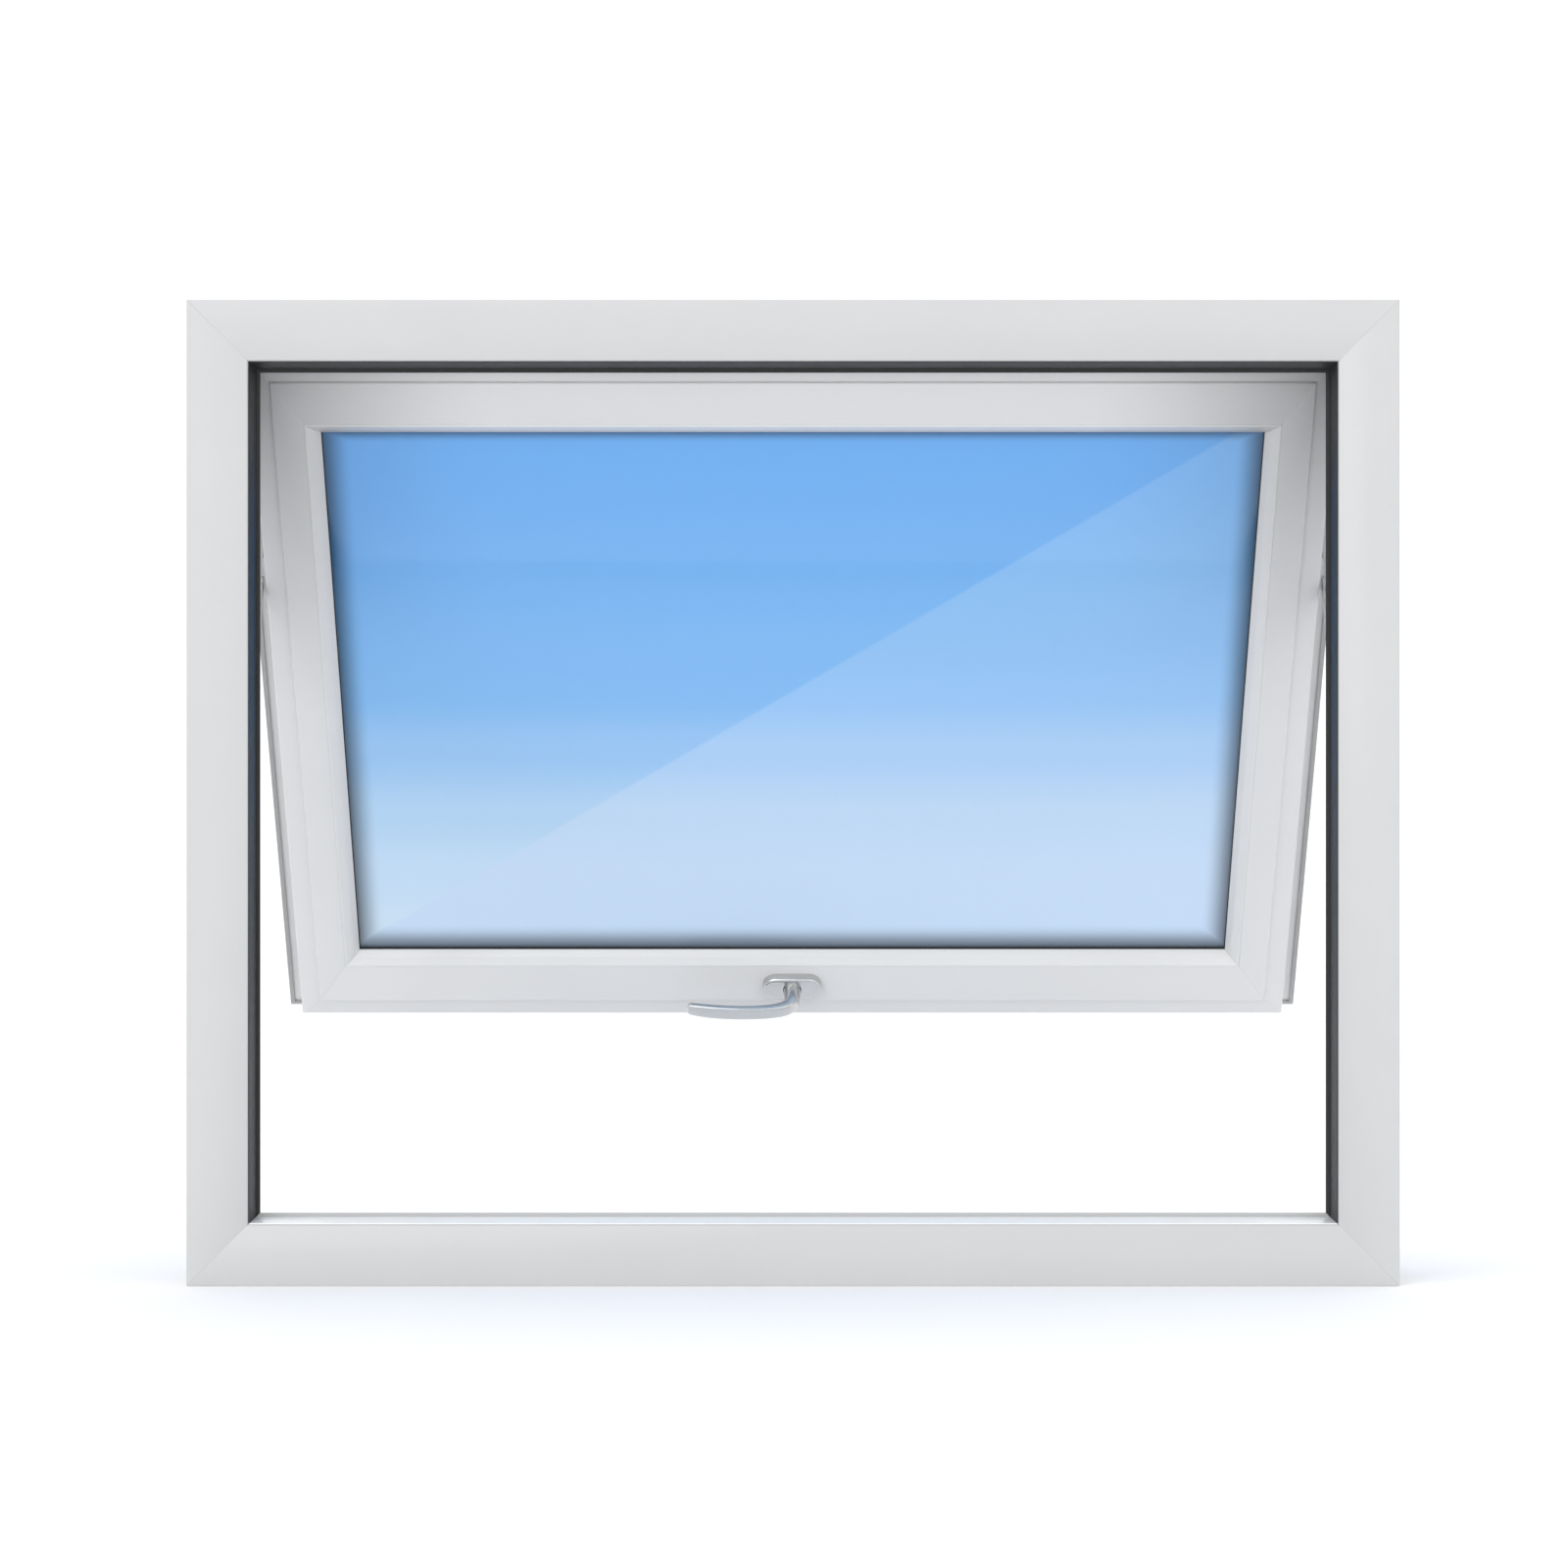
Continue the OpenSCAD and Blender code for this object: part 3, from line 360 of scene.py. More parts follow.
# Painted shade: the head and side strips are black where the opening is in shade; painted light: the sill's
# strip is white where the light falls.
shade_black_trim = surface_finish(
    "shade_black_trim", [(0.018, 0.018, 0.019), (0.028, 0.028, 0.029)], (0.45, 0.6), lift=0.12, grain_size=1400.0
)
lit_white_trim = surface_finish("lit_white_trim", [(0.86, 0.86, 0.855), (0.9, 0.9, 0.89)], (0.25, 0.35), coat=0.2)
front = ROOM_Y + TRIM_SET_BACK
wedge = [(FACE, front), (TRIM_FRONT, front), (TRIM_BACK, NOSE_Y - 1 * MM)]
wedge += [(TRIM_BACK, NOSE_Y), (FACE, NOSE_Y)]
trim_section = eased(wedge, np.array([0.0, 0.45, 1.2, 0.4, 0.0]) * MM)
for side, end in [("top", "head"), ("left", "left"), ("right", "right"), ("bottom", "sill")]:
    name = "strip_reveal_" + end
    cuts = (square_mitre, square_mitre)
    piece = mitred_bar(name, trim_section, side, (W / 2, 0, H), cuts, 0.2 * MM)
    # The sill's strip takes the painted light white, the others the painted shade black.
    white = side == "bottom"
    fit(piece, lit_white_trim if white else shade_black_trim, "frame", "reveal_trim_" + end)

# ---- Frame seal --------------------------------------------------------------
# A black rubber bulb behind the nose that the sash closes on; along the sill, where
# it runs over the white trim, it is painted pale, as painted light.
SEAL_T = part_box("frame_seal")[1][1] - NOSE_Y
SEAL_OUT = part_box("frame_seal")[0][0] + W / 2
SEAL_IN = TRIM_BACK + 4 * MM
SEAL_PAINTED_LIGHT = (0.46, 0.46, 0.46)


def seamless_loop(name, outline, rect, cut):
    """A section carried round the rectangle rect = (half width, low z, high z): each point (u, y) lies
    u in from the edge and turns each corner cut(u) along it, so the four bars share their rings."""
    half, low, high = rect
    u, y = outline[:, 0], outline[:, 1]
    across = half - cut(u)
    corners = [(-1, low + u), (1, low + u), (1, high - u), (-1, high - u)]
    rings = [np.column_stack([sx * across, y, z]) for sx, z in corners]
    n = len(outline)
    ring, point = np.arange(4)[:, None] * n, np.arange(n)[None, :]
    after, beside = (ring + n) % (4 * n), (point + 1) % n
    faces = np.stack([ring + point, ring + beside, after + beside, after + point], -1).reshape(-1, 4)
    return face_out(new_mesh(name, np.vstack(rings), faces.tolist(), 40))


def object_axes(tree):
    """The separated object coordinates of a material."""
    where = tree.nodes.new("ShaderNodeTexCoord")
    xyz = tree.nodes.new("ShaderNodeSeparateXYZ")
    tree.links.new(where.outputs["Object"], xyz.inputs[0])
    return xyz.outputs["X"], xyz.outputs["Z"]


def recolour(material, factor, colour=None):
    """Changes a material's colour: towards a colour by a factor, or times the factor where none is
    given."""
    tree = material.node_tree
    base = tree.nodes["Principled BSDF"].inputs["Base Color"]
    mix = tree.nodes.new("ShaderNodeMix")
    mix.data_type = "RGBA"
    tree.links.new(base.links[0].from_socket, mix.inputs[6])
    if colour:
        tree.links.new(factor, mix.inputs[0])
        mix.inputs[7].default_value = (*colour, 1)
    else:
        mix.blend_type = "MULTIPLY"
        mix.inputs[0].default_value = 1.0
        tree.links.new(factor, mix.inputs[7])
    tree.links.new(mix.outputs[2], base)


BLACK_RUBBER = [(0.014, 0.014, 0.014), (0.026, 0.026, 0.027)]
sill_lit_seal = surface_finish("two_tone_rubber", BLACK_RUBBER, (0.55, 0.72), lift=0.2, grain_size=1700.0)
tree = sill_lit_seal.node_tree
x, z = object_axes(tree)
from_side = math_node(tree, "SUBTRACT", W / 2, math_node(tree, "ABSOLUTE", x))
# Painted light: the run along the sill, nearer the bottom than the sides, is painted pale.
recolour(sill_lit_seal, math_node(tree, "LESS_THAN", z, from_side), SEAL_PAINTED_LIGHT)
bulb = [(SEAL_OUT, NOSE_Y), (SEAL_IN - 3 * MM, NOSE_Y), (SEAL_IN, NOSE_Y + 0.4 * MM)]
bulb += [(SEAL_IN, NOSE_Y + 0.8 * SEAL_T), (SEAL_IN - 4 * MM, NOSE_Y + SEAL_T)]
bulb += [(SEAL_OUT + 3 * MM, NOSE_Y + SEAL_T), (SEAL_OUT, NOSE_Y + 0.5 * SEAL_T)]
piece = seamless_loop("bulb_seal", eased(bulb, 1.0 * MM), (W / 2, 0, H), square_mitre)
fit(piece, sill_lit_seal, "frame", "frame_seal")

# ---- Hinge -------------------------------------------------------------------
# Two drawn aluminium rails run the whole width: a round bead under the frame's
# head, and a socket on the sash's top rail that turns on it.
aluminium = surface_finish(
    "drawn_aluminium", [(0.66, 0.66, 0.67), (0.76, 0.76, 0.77)], (0.28, 0.38), 1.0, (20.0, 1.0), 0.25,
    lines=(4.0, 1500.0, 1500.0),
)
dress(aluminium, "head_hinge_rail", "sash_hinge_rail")

# ---- Rain hood ---------------------------------------------------------------
# A white plastic hood, screwed to the frame's outer face, sheds rain past the
# hinge: an upright leaf, a sloping top and a turned-down lip.


def long_strip(name, outline, half):
    """A (y, z) outline carried straight along X between two flat ends."""
    ends = [np.column_stack([np.full(len(outline), x), outline]) for x in (-half, half)]
    return face_out(new_mesh(name, np.vstack(ends), tube_faces(2, len(outline)), BAR_FOLD))


# The (y, z) outlines of the hood and of the sill after it are in millimetres.
lip_y = (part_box("head_drip")[1][1] - OUT_Y) / MM
hood = np.array([
    (0, -22), (2, -22), (2, -6), (lip_y - 2, -17), (lip_y - 2, -33), (lip_y, -33), (lip_y, -15.5),
    (2.5, -2.5), (0, -2),
]) * MM + [OUT_Y, H]
hood = eased(hood, np.array([0.3, 0.6, 1, 0.8, 0.6, 0.6, 2, 1.2, 0.2]) * MM)
piece = long_strip("rain_hood", hood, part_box("head_drip")[1][0])
fit(piece, frame_white_x, "frame", "head_drip")

# ---- Outer sill --------------------------------------------------------------
# Pressed aluminium, white powder coated, screwed under the frame with a fall to
# the outside and a drip at its front; two moulded caps close its ends.
reach = (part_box("outer_sill")[1][1] - OUT_Y) / MM
sill = np.array([
    (0, 8), (2.5, 8), (2.5, 17), (reach - 3, 11), (reach - 3, 1), (reach, 1), (reach, 14),
    (2.5, 20.5), (2.5, 30), (0, 30),
]) * MM + [OUT_Y, 0]
sill = eased(sill, np.array([0.3, 0.4, 1, 1, 0.6, 0.6, 2.5, 2, 0.8, 0.3]) * MM)
powder_coat = surface_finish(
    "powder_coat", [(0.70, 0.70, 0.70), (0.75, 0.75, 0.75)], (0.36, 0.46), lift=0.16, grain_size=1100.0
)
piece = long_strip("pressed_sill", sill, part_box("outer_sill")[1][0])
fit(piece, powder_coat, "frame", "outer_sill")
dress(frame_white_x, "outer_sill_caps")

# ---- Side stays --------------------------------------------------------------
# A zinc-plated arm at each side pivots on a bracket of the sash and ends in a
# black nylon shoe, which slides in a steel track on the jamb.
nylon = surface_finish(
    "black_nylon", [(0.02, 0.02, 0.021), (0.035, 0.035, 0.036)], (0.42, 0.55), lift=0.15, grain_size=1200.0
)
for side in ("left", "right"):
    dress(zinc, "stay_track_" + side, "stay_arm_" + side, "stay_bracket_" + side)
    dress(nylon, "stay_shoe_" + side)

# ---- Sash bars ---------------------------------------------------------------
# The sash is welded from bars of the same white plastic, with a stepped lip, a
# glazing rebate and a storm flange; its white is painted lighter than the frame's,
# as painted light. It is drawn shut, then swung out on its hinge.
hinge = next(j for j in frame["joints"] if j["name"] == "sash_hinge")
AXIS_Y, AXIS_Z = hinge["pos_m"][1], hinge["pos_m"][2]
OPEN = -math.radians(hinge["range_deg"][0])
SASH_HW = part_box("sash_top_rail")[1][0]
AXIS_ABOVE = 11 * MM
SASH_TOP = AXIS_Z - AXIS_ABOVE
SASH_LOW = H - SASH_TOP
BEAD_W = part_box("bead_left")[1][0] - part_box("bead_left")[0][0]
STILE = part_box("bead_left")[1][0] + SASH_HW
RAIL_WIDER = 20 * MM
RAIL = STILE + RAIL_WIDER
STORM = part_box("sash_stile_right")[1][0] - SASH_HW
LIP, LIP_STEP = 22 * MM, 3 * MM
DEPTH, UPSTAND_D, STORM_D = 56 * MM, 42 * MM, 40.5 * MM
GROOVE_D0, GROOVE_D1, GROOVE_T = 20 * MM, 36 * MM, 12 * MM
LIP_SLOPE, UPSTAND_EDGE, BACK_SLOPE = 0.8 * MM, 3 * MM, 8 * MM
SASH_RECT = (SASH_HW, SASH_LOW, SASH_TOP)
SHADE_X, SHADE_Z = 0.30, 0.55
# The weld line turns at each of these widths, on a rail and on a stile.
BEND_PAST = 50 * MM
RAIL_BENDS = np.array([-STORM, 0, LIP, RAIL - BEAD_W, RAIL, RAIL + BEND_PAST])
STILE_BENDS = np.array([-STORM, 0, LIP, STILE - BEAD_W, STILE, STILE + BEND_PAST])


def swing(obj):
    """Turns a piece drawn on the shut sash about the hinge axis by the resting angle a: y and z from
    the axis become y cos a - z sin a and y sin a + z cos a."""
    co = np.empty(len(obj.data.vertices) * 3)
    obj.data.vertices.foreach_get("co", co)
    co = co.reshape(-1, 3)
    y, z = co[:, 1] - AXIS_Y, co[:, 2] - AXIS_Z
    co[:, 1] = AXIS_Y + y * math.cos(OPEN) - z * math.sin(OPEN)
    co[:, 2] = AXIS_Z + y * math.sin(OPEN) + z * math.cos(OPEN)
    obj.data.vertices.foreach_set("co", co.ravel())
    obj.data.update()
    return obj


def rail_mitre(u):
    """How far along the sash's width a rail's section is cut, at a width u of the section."""
    return np.interp(u, RAIL_BENDS, STILE_BENDS)


def stile_mitre(u):
    """How far along the sash's height a stile's section is cut."""
    return np.interp(u, STILE_BENDS, RAIL_BENDS)


def stile_head(u):
    """The same at the head, where the storm flange stops level with the sash."""
    return np.maximum(stile_mitre(u), 0)


def with_bends(outline, bends):
    """Adds a point wherever a side of the outline crosses one of the widths: the crossings are found
    as fractions of the sides and sorted in among the points."""
    n = len(outline)
    closed = np.vstack([outline, outline[:1]])
    step = np.diff(closed[:, 0])
    share = (np.asarray(bends)[:, None] - closed[:-1, 0]) / np.where(np.abs(step) < 1e-9, np.inf, step)
    hit = np.nonzero((share > 1e-3) & (share < 1 - 1e-3))
    s = np.sort(np.concatenate([np.arange(n), hit[1] + share[hit]]))
    return np.column_stack([np.interp(s, np.arange(n + 1), closed[:, k]) for k in (0, 1)])


def sash_section(width, flange):
    """The sash's section in (u, y): lip, face, rebate, upstand, back, storm flange, hardware groove."""
    b = width - BEAD_W
    pts = [(0, LIP_STEP), (LIP - LIP_SLOPE, LIP_STEP), (LIP, 0), (b, 0), (b, UPSTAND_D), (width, UPSTAND_D)]
    pts += [(width, UPSTAND_D + UPSTAND_EDGE), (width - BACK_SLOPE, DEPTH), (-flange, DEPTH)]
    radii = [1.6, 0.5, 1.2, 0.6, 0, 0.4, 0.8, 2.0, 2.0]
    if flange:
        pts += [(-flange, STORM_D), (0, STORM_D)]
        radii += [1.0, 0.5]
    pts += [(0, GROOVE_D1), (GROOVE_T, GROOVE_D1), (GROOVE_T, GROOVE_D0), (0, GROOVE_D0)]
    radii += [0.5] * 4
    section = eased(pts, np.array(radii) * MM) + [0, NOSE_Y]
    return with_bends(section, (RAIL_BENDS if width == RAIL else STILE_BENDS)[1:5])


def eased_range(tree, value, low, high, to_low=0.0, to_high=1.0):
    """A smooth step of a value from low to high."""
    step = tree.nodes.new("ShaderNodeMapRange")
    step.interpolation_type = "SMOOTHSTEP"
    for label, number in zip(["From Min", "From Max", "To Min", "To Max"], [low, high, to_low, to_high]):
        step.inputs[label].default_value = number
    tree.links.new(value, step.inputs["Value"])
    return step.outputs["Result"]


def shaded_corners(material, depth):
    """Paints shade onto a finish: darkens it softly towards the two top corners of the resting sash, by the
    product of a ramp out along the width and a ramp up the height."""
    tree = material.node_tree
    x, z = object_axes(tree)
    outwards = eased_range(tree, math_node(tree, "ABSOLUTE", x), SHADE_X, SASH_HW)
    corner = math_node(tree, "MULTIPLY", outwards, eased_range(tree, z, SHADE_Z, SASH_TOP))
    recolour(material, math_node(tree, "SUBTRACT", 1.0, math_node(tree, "MULTIPLY", corner, depth)))
    return material


# The sash's white is painted lighter than the frame's, as painted light, and shaded_corners adds painted
# shade towards its top corners.
SASH_WHITE, SASH_SHADE = [(0.675, 0.677, 0.68), (0.70, 0.70, 0.70)], 0.38
sash_white_x, sash_white_z = [
    shaded_corners(
        surface_finish("sash_white_" + way, SASH_WHITE, PLASTIC_ROUGHNESS, lines=lines, coat=PLASTIC_COAT),
        SASH_SHADE,
    )
    for way, lines in [("x", LINES_X), ("z", LINES_Z)]
]
SASH_BARS = {
    "bottom": ("sash_bottom_rail", RAIL, STORM, (rail_mitre, rail_mitre), sash_white_x),
    "top": ("sash_top_rail", RAIL, 0, (rail_mitre, rail_mitre), sash_white_x),
    "left": ("sash_stile_left", STILE, STORM, (stile_mitre, stile_head), sash_white_z),
    "right": ("sash_stile_right", STILE, STORM, (stile_mitre, stile_head), sash_white_z),
}
for side, (node, width, flange, cuts, material) in SASH_BARS.items():
    piece = swing(mitred_bar("bar_" + node, sash_section(width, flange), side, SASH_RECT, cuts))
    fit(piece, material, "sash", node)

# ---- Sash steel, screws and weather strip ------------------------------------
# Galvanised channels inside the bars, screws for the hinge and the stays, and a
# grey rubber strip in the storm flange that closes on the frame from outside.
grey_rubber = surface_finish(
    "grey_rubber", [(0.36, 0.36, 0.36), (0.42, 0.42, 0.42)], (0.5, 0.65), lift=0.15, grain_size=1500.0
)
dress(galvanised, "sash_steel")
dress(zinc, "sash_screws")
dress(grey_rubber, "sash_seal")

# ---- Glazing beads -----------------------------------------------------------
# Bevelled plastic beads clip in on the room side and hold the glass; each falls
# in a soft wedge from the sash's face to the glass, and is mitred at its ends.
BEAD_D, BEAD_NOSE, BEAD_FLAT, BEAD_SEAM = 12 * MM, 1.5 * MM, 2 * MM, 0.3 * MM
BEAD_KNEE = (0.62, 0.40)
bead_white = surface_finish(
    "bead_white", [(0.71, 0.71, 0.71), (0.735, 0.735, 0.735)], (0.26, 0.34), lift=0.01, grain_size=500.0,
    coat=0.2,
)
# Painted shade towards the beads' top corners.
shaded_corners(bead_white, 0.32)
for side, width, cut in [
    ("bottom", RAIL, rail_mitre), ("top", RAIL, rail_mitre),
    ("left", STILE, stile_mitre), ("right", STILE, stile_mitre),
]:
    a = width - BEAD_W
    knee = (a + BEAD_KNEE[0] * BEAD_W, BEAD_KNEE[1] * BEAD_D)
    wedge = [(a, 0), (a + BEAD_FLAT, 0), knee, (width, BEAD_D - BEAD_NOSE), (width, BEAD_D), (a, BEAD_D)]
    section = eased(wedge, np.array([0.5, 1.4, 6.0, 0.5, 0.2, 0.2]) * MM) + [0, NOSE_Y]
    piece = swing(mitred_bar("wedge_bead_" + side, section, side, SASH_RECT, (cut, cut), BEAD_SEAM))
    fit(piece, bead_white, "sash", "bead_" + side)

# ---- Glazing gaskets ---------------------------------------------------------
# A thin black rubber lip shows along the sight line on both faces of the glass,
# in one piece round each side of the unit.
GLASS_D, UNIT = 15 * MM, 24 * MM
GASKET_HIDDEN, GASKET_SEEN = 6 * MM, 0.8 * MM
black_rubber = surface_finish("black_rubber", BLACK_RUBBER, (0.55, 0.72), lift=0.2, grain_size=1700.0)
for name, node, d0, d1 in [
    ("room_gasket", "bead_gasket", BEAD_D, GLASS_D),
    ("weather_gasket", "outer_gasket", GLASS_D + UNIT, UPSTAND_D),
]:
    a, b = RAIL - GASKET_HIDDEN, RAIL + GASKET_SEEN
    section = eased([(a, d0), (b, d0), (b, d1), (a, d1)], 0.7 * MM) + [0, NOSE_Y]
    fit(swing(seamless_loop(name, section, SASH_RECT, rail_mitre)), black_rubber, "sash", node)

# ---- Glazed unit -------------------------------------------------------------
# Two panes of float glass on a dark spacer bar, sealed round the edge and set on
# blue packers. Their colour is a painted reflection of a blue sky that pales towards
# the bottom, with a lighter slanting patch of painted reflection, and painted shade
# close to the beads and towards the top corners.
GLASS_LOW, GLASS_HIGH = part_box("pane_inner")[0][2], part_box("pane_inner")[1][2]
SIGHT_X = SASH_HW - STILE
# The slanting edge's rise over the pane's width and its height at mid-width, in pane heights.
SLANT_RISE, SLANT_MIDDLE = 0.98, 0.515
BEAD_COVER, SHADE_REACH, EDGE_SHADE = 12 * MM, 30 * MM, 0.22
# Painted sky reflection colours by height, from the bottom of the pane to its top, above and below the
# slanting edge.
SKY = [
    (0.05, (0.67, 0.84, 0.99)), (0.17, (0.61, 0.80, 0.99)), (0.28, (0.50, 0.73, 0.97)),
    (0.40, (0.355, 0.62, 0.96)), (0.51, (0.25, 0.545, 0.95)), (0.97, (0.165, 0.445, 0.90)),
]
PALE = [
    (0.05, (0.635, 0.80, 1.0)), (0.17, (0.635, 0.80, 1.0)), (0.28, (0.585, 0.77, 0.99)),
    (0.40, (0.455, 0.69, 0.99)), (0.51, (0.34, 0.615, 0.98)), (0.63, (0.31, 0.587, 0.955)),
    (0.95, (0.23, 0.51, 0.93)),
]


def glass_with_painted_sky(name):
    """Glass whose colour is a painted sky reflection: colour stops by height on each side of a slanting
    line, times a painted shade that eases off inwards from the sight line. The slant's height is its rise
    times x / width + its middle."""
    mat = bpy.data.materials.new(name)
    mat.use_nodes = True
    tree = mat.node_tree
    shader = tree.nodes["Principled BSDF"]
    for label, number in [
        ("Roughness", 0.04), ("IOR", 1.45), ("Transmission Weight", 0.12),
        ("Coat Weight", 0.1), ("Coat Roughness", 0.02),
    ]:
        shader.inputs[label].default_value = number
    x, z = object_axes(tree)
    rise = math_node(tree, "SUBTRACT", z, GLASS_LOW)
    height = math_node(tree, "DIVIDE", rise, GLASS_HIGH - GLASS_LOW)
    colours = []
    for stops in (SKY, PALE):
        node = tree.nodes.new("ShaderNodeValToRGB")
        node.color_ramp.interpolation = "EASE"
        while len(node.color_ramp.elements) < len(stops):
            node.color_ramp.elements.new(0.5)
        for element, (place, colour) in zip(node.color_ramp.elements, stops):
            element.position, element.color = place, (*colour, 1)
        tree.links.new(height, node.inputs["Fac"])
        colours.append(node.outputs["Color"])
    # The lighter patch below the slanting line is a painted reflection.
    slope = math_node(tree, "MULTIPLY", x, SLANT_RISE / (2 * SIGHT_X))
    below = math_node(tree, "SUBTRACT", math_node(tree, "ADD", slope, SLANT_MIDDLE), height)
    mix = tree.nodes.new("ShaderNodeMix")
    mix.data_type = "RGBA"
    tree.links.new(eased_range(tree, below, -0.003, 0.006), mix.inputs[0])
    tree.links.new(colours[0], mix.inputs[6])
    tree.links.new(colours[1], mix.inputs[7])
    tree.links.new(mix.outputs[2], shader.inputs["Base Color"])
    side = math_node(tree, "SUBTRACT", SIGHT_X, math_node(tree, "ABSOLUTE", x))
    # The painted shade is narrower at the bottom and narrowest at the top.
    low = math_node(tree, "MULTIPLY", math_node(tree, "SUBTRACT", rise, BEAD_COVER), 1.25)
    high = math_node(tree, "MULTIPLY", math_node(tree, "SUBTRACT", GLASS_HIGH - BEAD_COVER, z), 2.4)
    near = math_node(tree, "MINIMUM", math_node(tree, "MINIMUM", side, low), high)
    recolour(mat, eased_range(tree, near, -4 * MM, SHADE_REACH, EDGE_SHADE, 1.0))
    return shaded_corners(mat, 0.16)


dress(glass_with_painted_sky("room_side_glass"), "pane_inner")
dress(glass_with_painted_sky("weather_side_glass"), "pane_outer")
spacer_grey = surface_finish("spacer_bar", [(0.10, 0.10, 0.105), (0.16, 0.16, 0.165)], (0.35, 0.5), 0.6)
packer_blue = surface_finish("packer_plastic", [(0.03, 0.12, 0.38), (0.045, 0.16, 0.44)], (0.4, 0.5))
dress(spacer_grey, "glass_spacer")
dress(packer_blue, "glazing_packers")
dress(black_rubber, "edge_sealant")

# ---- Lock gear ---------------------------------------------------------------
# A zinc-plated gearbox in the bottom rail turns a brass pinion, which drives two
# racks outwards; their aluminium cams pass behind steel keeps on the sill.
brass = surface_finish(
    "cast_brass", [(0.55, 0.38, 0.14), (0.72, 0.53, 0.24)], (0.3, 0.5), 1.0, (80.0, 1.4), 0.2
)
dress(zinc, "gearbox_case", "gearbox_cover", "lock_faceplate", "drive_rod_left", "drive_rod_right")
dress(zinc, "lock_keeps")
dress(brass, "pinion")
dress(aluminium, "lock_cams_left", "lock_cams_right")

# ---- Rosette -----------------------------------------------------------------
# A pressed satin-silver cover with a rolled edge clips over a nylon base, hides
# its two screws, and carries a raised collar round the lever's neck.
GRIP = np.array(next(j for j in frame["joints"] if j["name"] == "handle_turn")["pos_m"])
GRIP_UP = np.array([0.0, -math.sin(OPEN), math.cos(OPEN)])
GRIP_OUT = np.array([0.0, -math.cos(OPEN), -math.sin(OPEN)])
ROSETTE_L, ROSETTE_W, ROSETTE_ROUND = 67.0, 30.0, 96
# Insets and heights of the shell, then radii and heights of the collar, in millimetres.
SHELL = [(1.6, 0), (0, 0), (0, 6.5), (0.15, 8.3), (0.7, 9.6), (1.6, 10.5), (2.8, 10.9), (4.2, 11)]
COLLAR = [(13, 11), (12.2, 11), (11.8, 11), (11.4, 11), (10.8, 11), (10.4, 11), (10.3, 10.8), (10.3, 2)]


def on_grip(local):
    """Places points given as (along the rail, up the rail, out from its face) at the handle's axis."""
    local = np.asarray(local)
    return GRIP + local[:, :1] * np.array([1.0, 0, 0]) + local[:, 1:2] * GRIP_UP + local[:, 2:3] * GRIP_OUT


def rosette_rings():
    """Stadium rings of the shell, then circles of the collar. A stadium's point at the angle t is
    (cos t, sin t) times its end radius, moved out along X by half of its length less its width."""
    t = np.linspace(0, 2 * math.pi, ROSETTE_ROUND, endpoint=False) + math.pi / ROSETTE_ROUND
    rings = []
    for inset, lift in SHELL:
        ring = np.column_stack([np.cos(t), np.sin(t)]) * (ROSETTE_W / 2 - inset)
        ring[:, 0] += np.sign(np.cos(t)) * (ROSETTE_L - ROSETTE_W) / 2
        rings.append(np.column_stack([ring, np.full(ROSETTE_ROUND, lift)]))
    turn = np.arctan2(rings[-1][:, 1], rings[-1][:, 0])
    for radius, lift in COLLAR:
        circle = np.column_stack([np.cos(turn), np.sin(turn)]) * radius
        rings.append(np.column_stack([circle, np.full(ROSETTE_ROUND, lift)]))
    return rings


satin_silver = surface_finish(
    "satin_silver", [(0.56, 0.56, 0.555), (0.64, 0.64, 0.635)], (0.15, 0.23), 1.0, (45.0, 1.0), 0.10,
    lines=(30.0, 900.0, 900.0),
)
rings = rosette_rings()
here = np.arange(ROSETTE_ROUND)
after, last = (here + 1) % ROSETTE_ROUND, (len(rings) - 1) * ROSETTE_ROUND
faces = tube_faces(len(rings), ROSETTE_ROUND, capped=False)
faces += np.column_stack([last + here, last + after, after, here]).tolist()
piece = face_out(new_mesh("rosette_shell", on_grip(np.vstack(rings) * MM), faces, 40))
fit(piece, satin_silver, "sash", "rosette_cover")
dress(nylon, "rosette_base")
dress(zinc, "rosette_screws")

# ---- Lever -------------------------------------------------------------------
# Die-cast and plated in satin silver: a round neck rises from the collar, bends
# over and runs out as a flat grip that bows away from the sash and dips at its tip.

# One row for each station: place along the rail and out from its face, half width
# up the rail, half thickness, and how square the section is (2 is an ellipse).
LEVER = np.array([
    (0.0, 3.0, 9.9, 9.9, 2.0), (0.0, 14.0, 9.7, 9.6, 2.0), (0.0, 24.0, 9.4, 8.9, 2.2),
    (-1.0, 33.5, 9.0, 8.0, 2.6), (-6.5, 41.5, 8.4, 6.6, 3.4), (-19.0, 46.6, 8.0, 5.3, 4.2),
    (-38.0, 49.3, 8.0, 4.6, 4.6), (-62.0, 50.0, 8.2, 4.3, 4.6), (-88.0, 48.2, 8.2, 4.2, 4.6),
    (-106.0, 45.2, 7.8, 4.1, 4.4), (-115.5, 43.0, 7.2, 3.9, 4.0),
])
LEVER_ROWS, LEVER_ROUND, TIP_ROWS, TIP_REACH, TIP_LEAST = 120, 48, 12, 4.2, 0.0004


def smooth_rows(rows, count):
    """A Catmull-Rom curve through the rows, sampled evenly: each stretch is the cubic that leaves and
    meets its ends with half the step between their neighbours."""
    v = np.vstack([2 * rows[:1] - rows[1:2], rows, 2 * rows[-1:] - rows[-2:-1]])
    t = np.linspace(0, len(rows) - 1, count)
    i = np.minimum(t.astype(int), len(rows) - 2)
    f = (t - i)[:, None]
    a, b, c, d = v[i], v[i + 1], v[i + 2], v[i + 3]
    return 0.5 * (2 * b + (c - a) * f + (2 * a - 5 * b + 4 * c - d) * f**2 + (3 * b - a - 3 * c + d) * f**3)


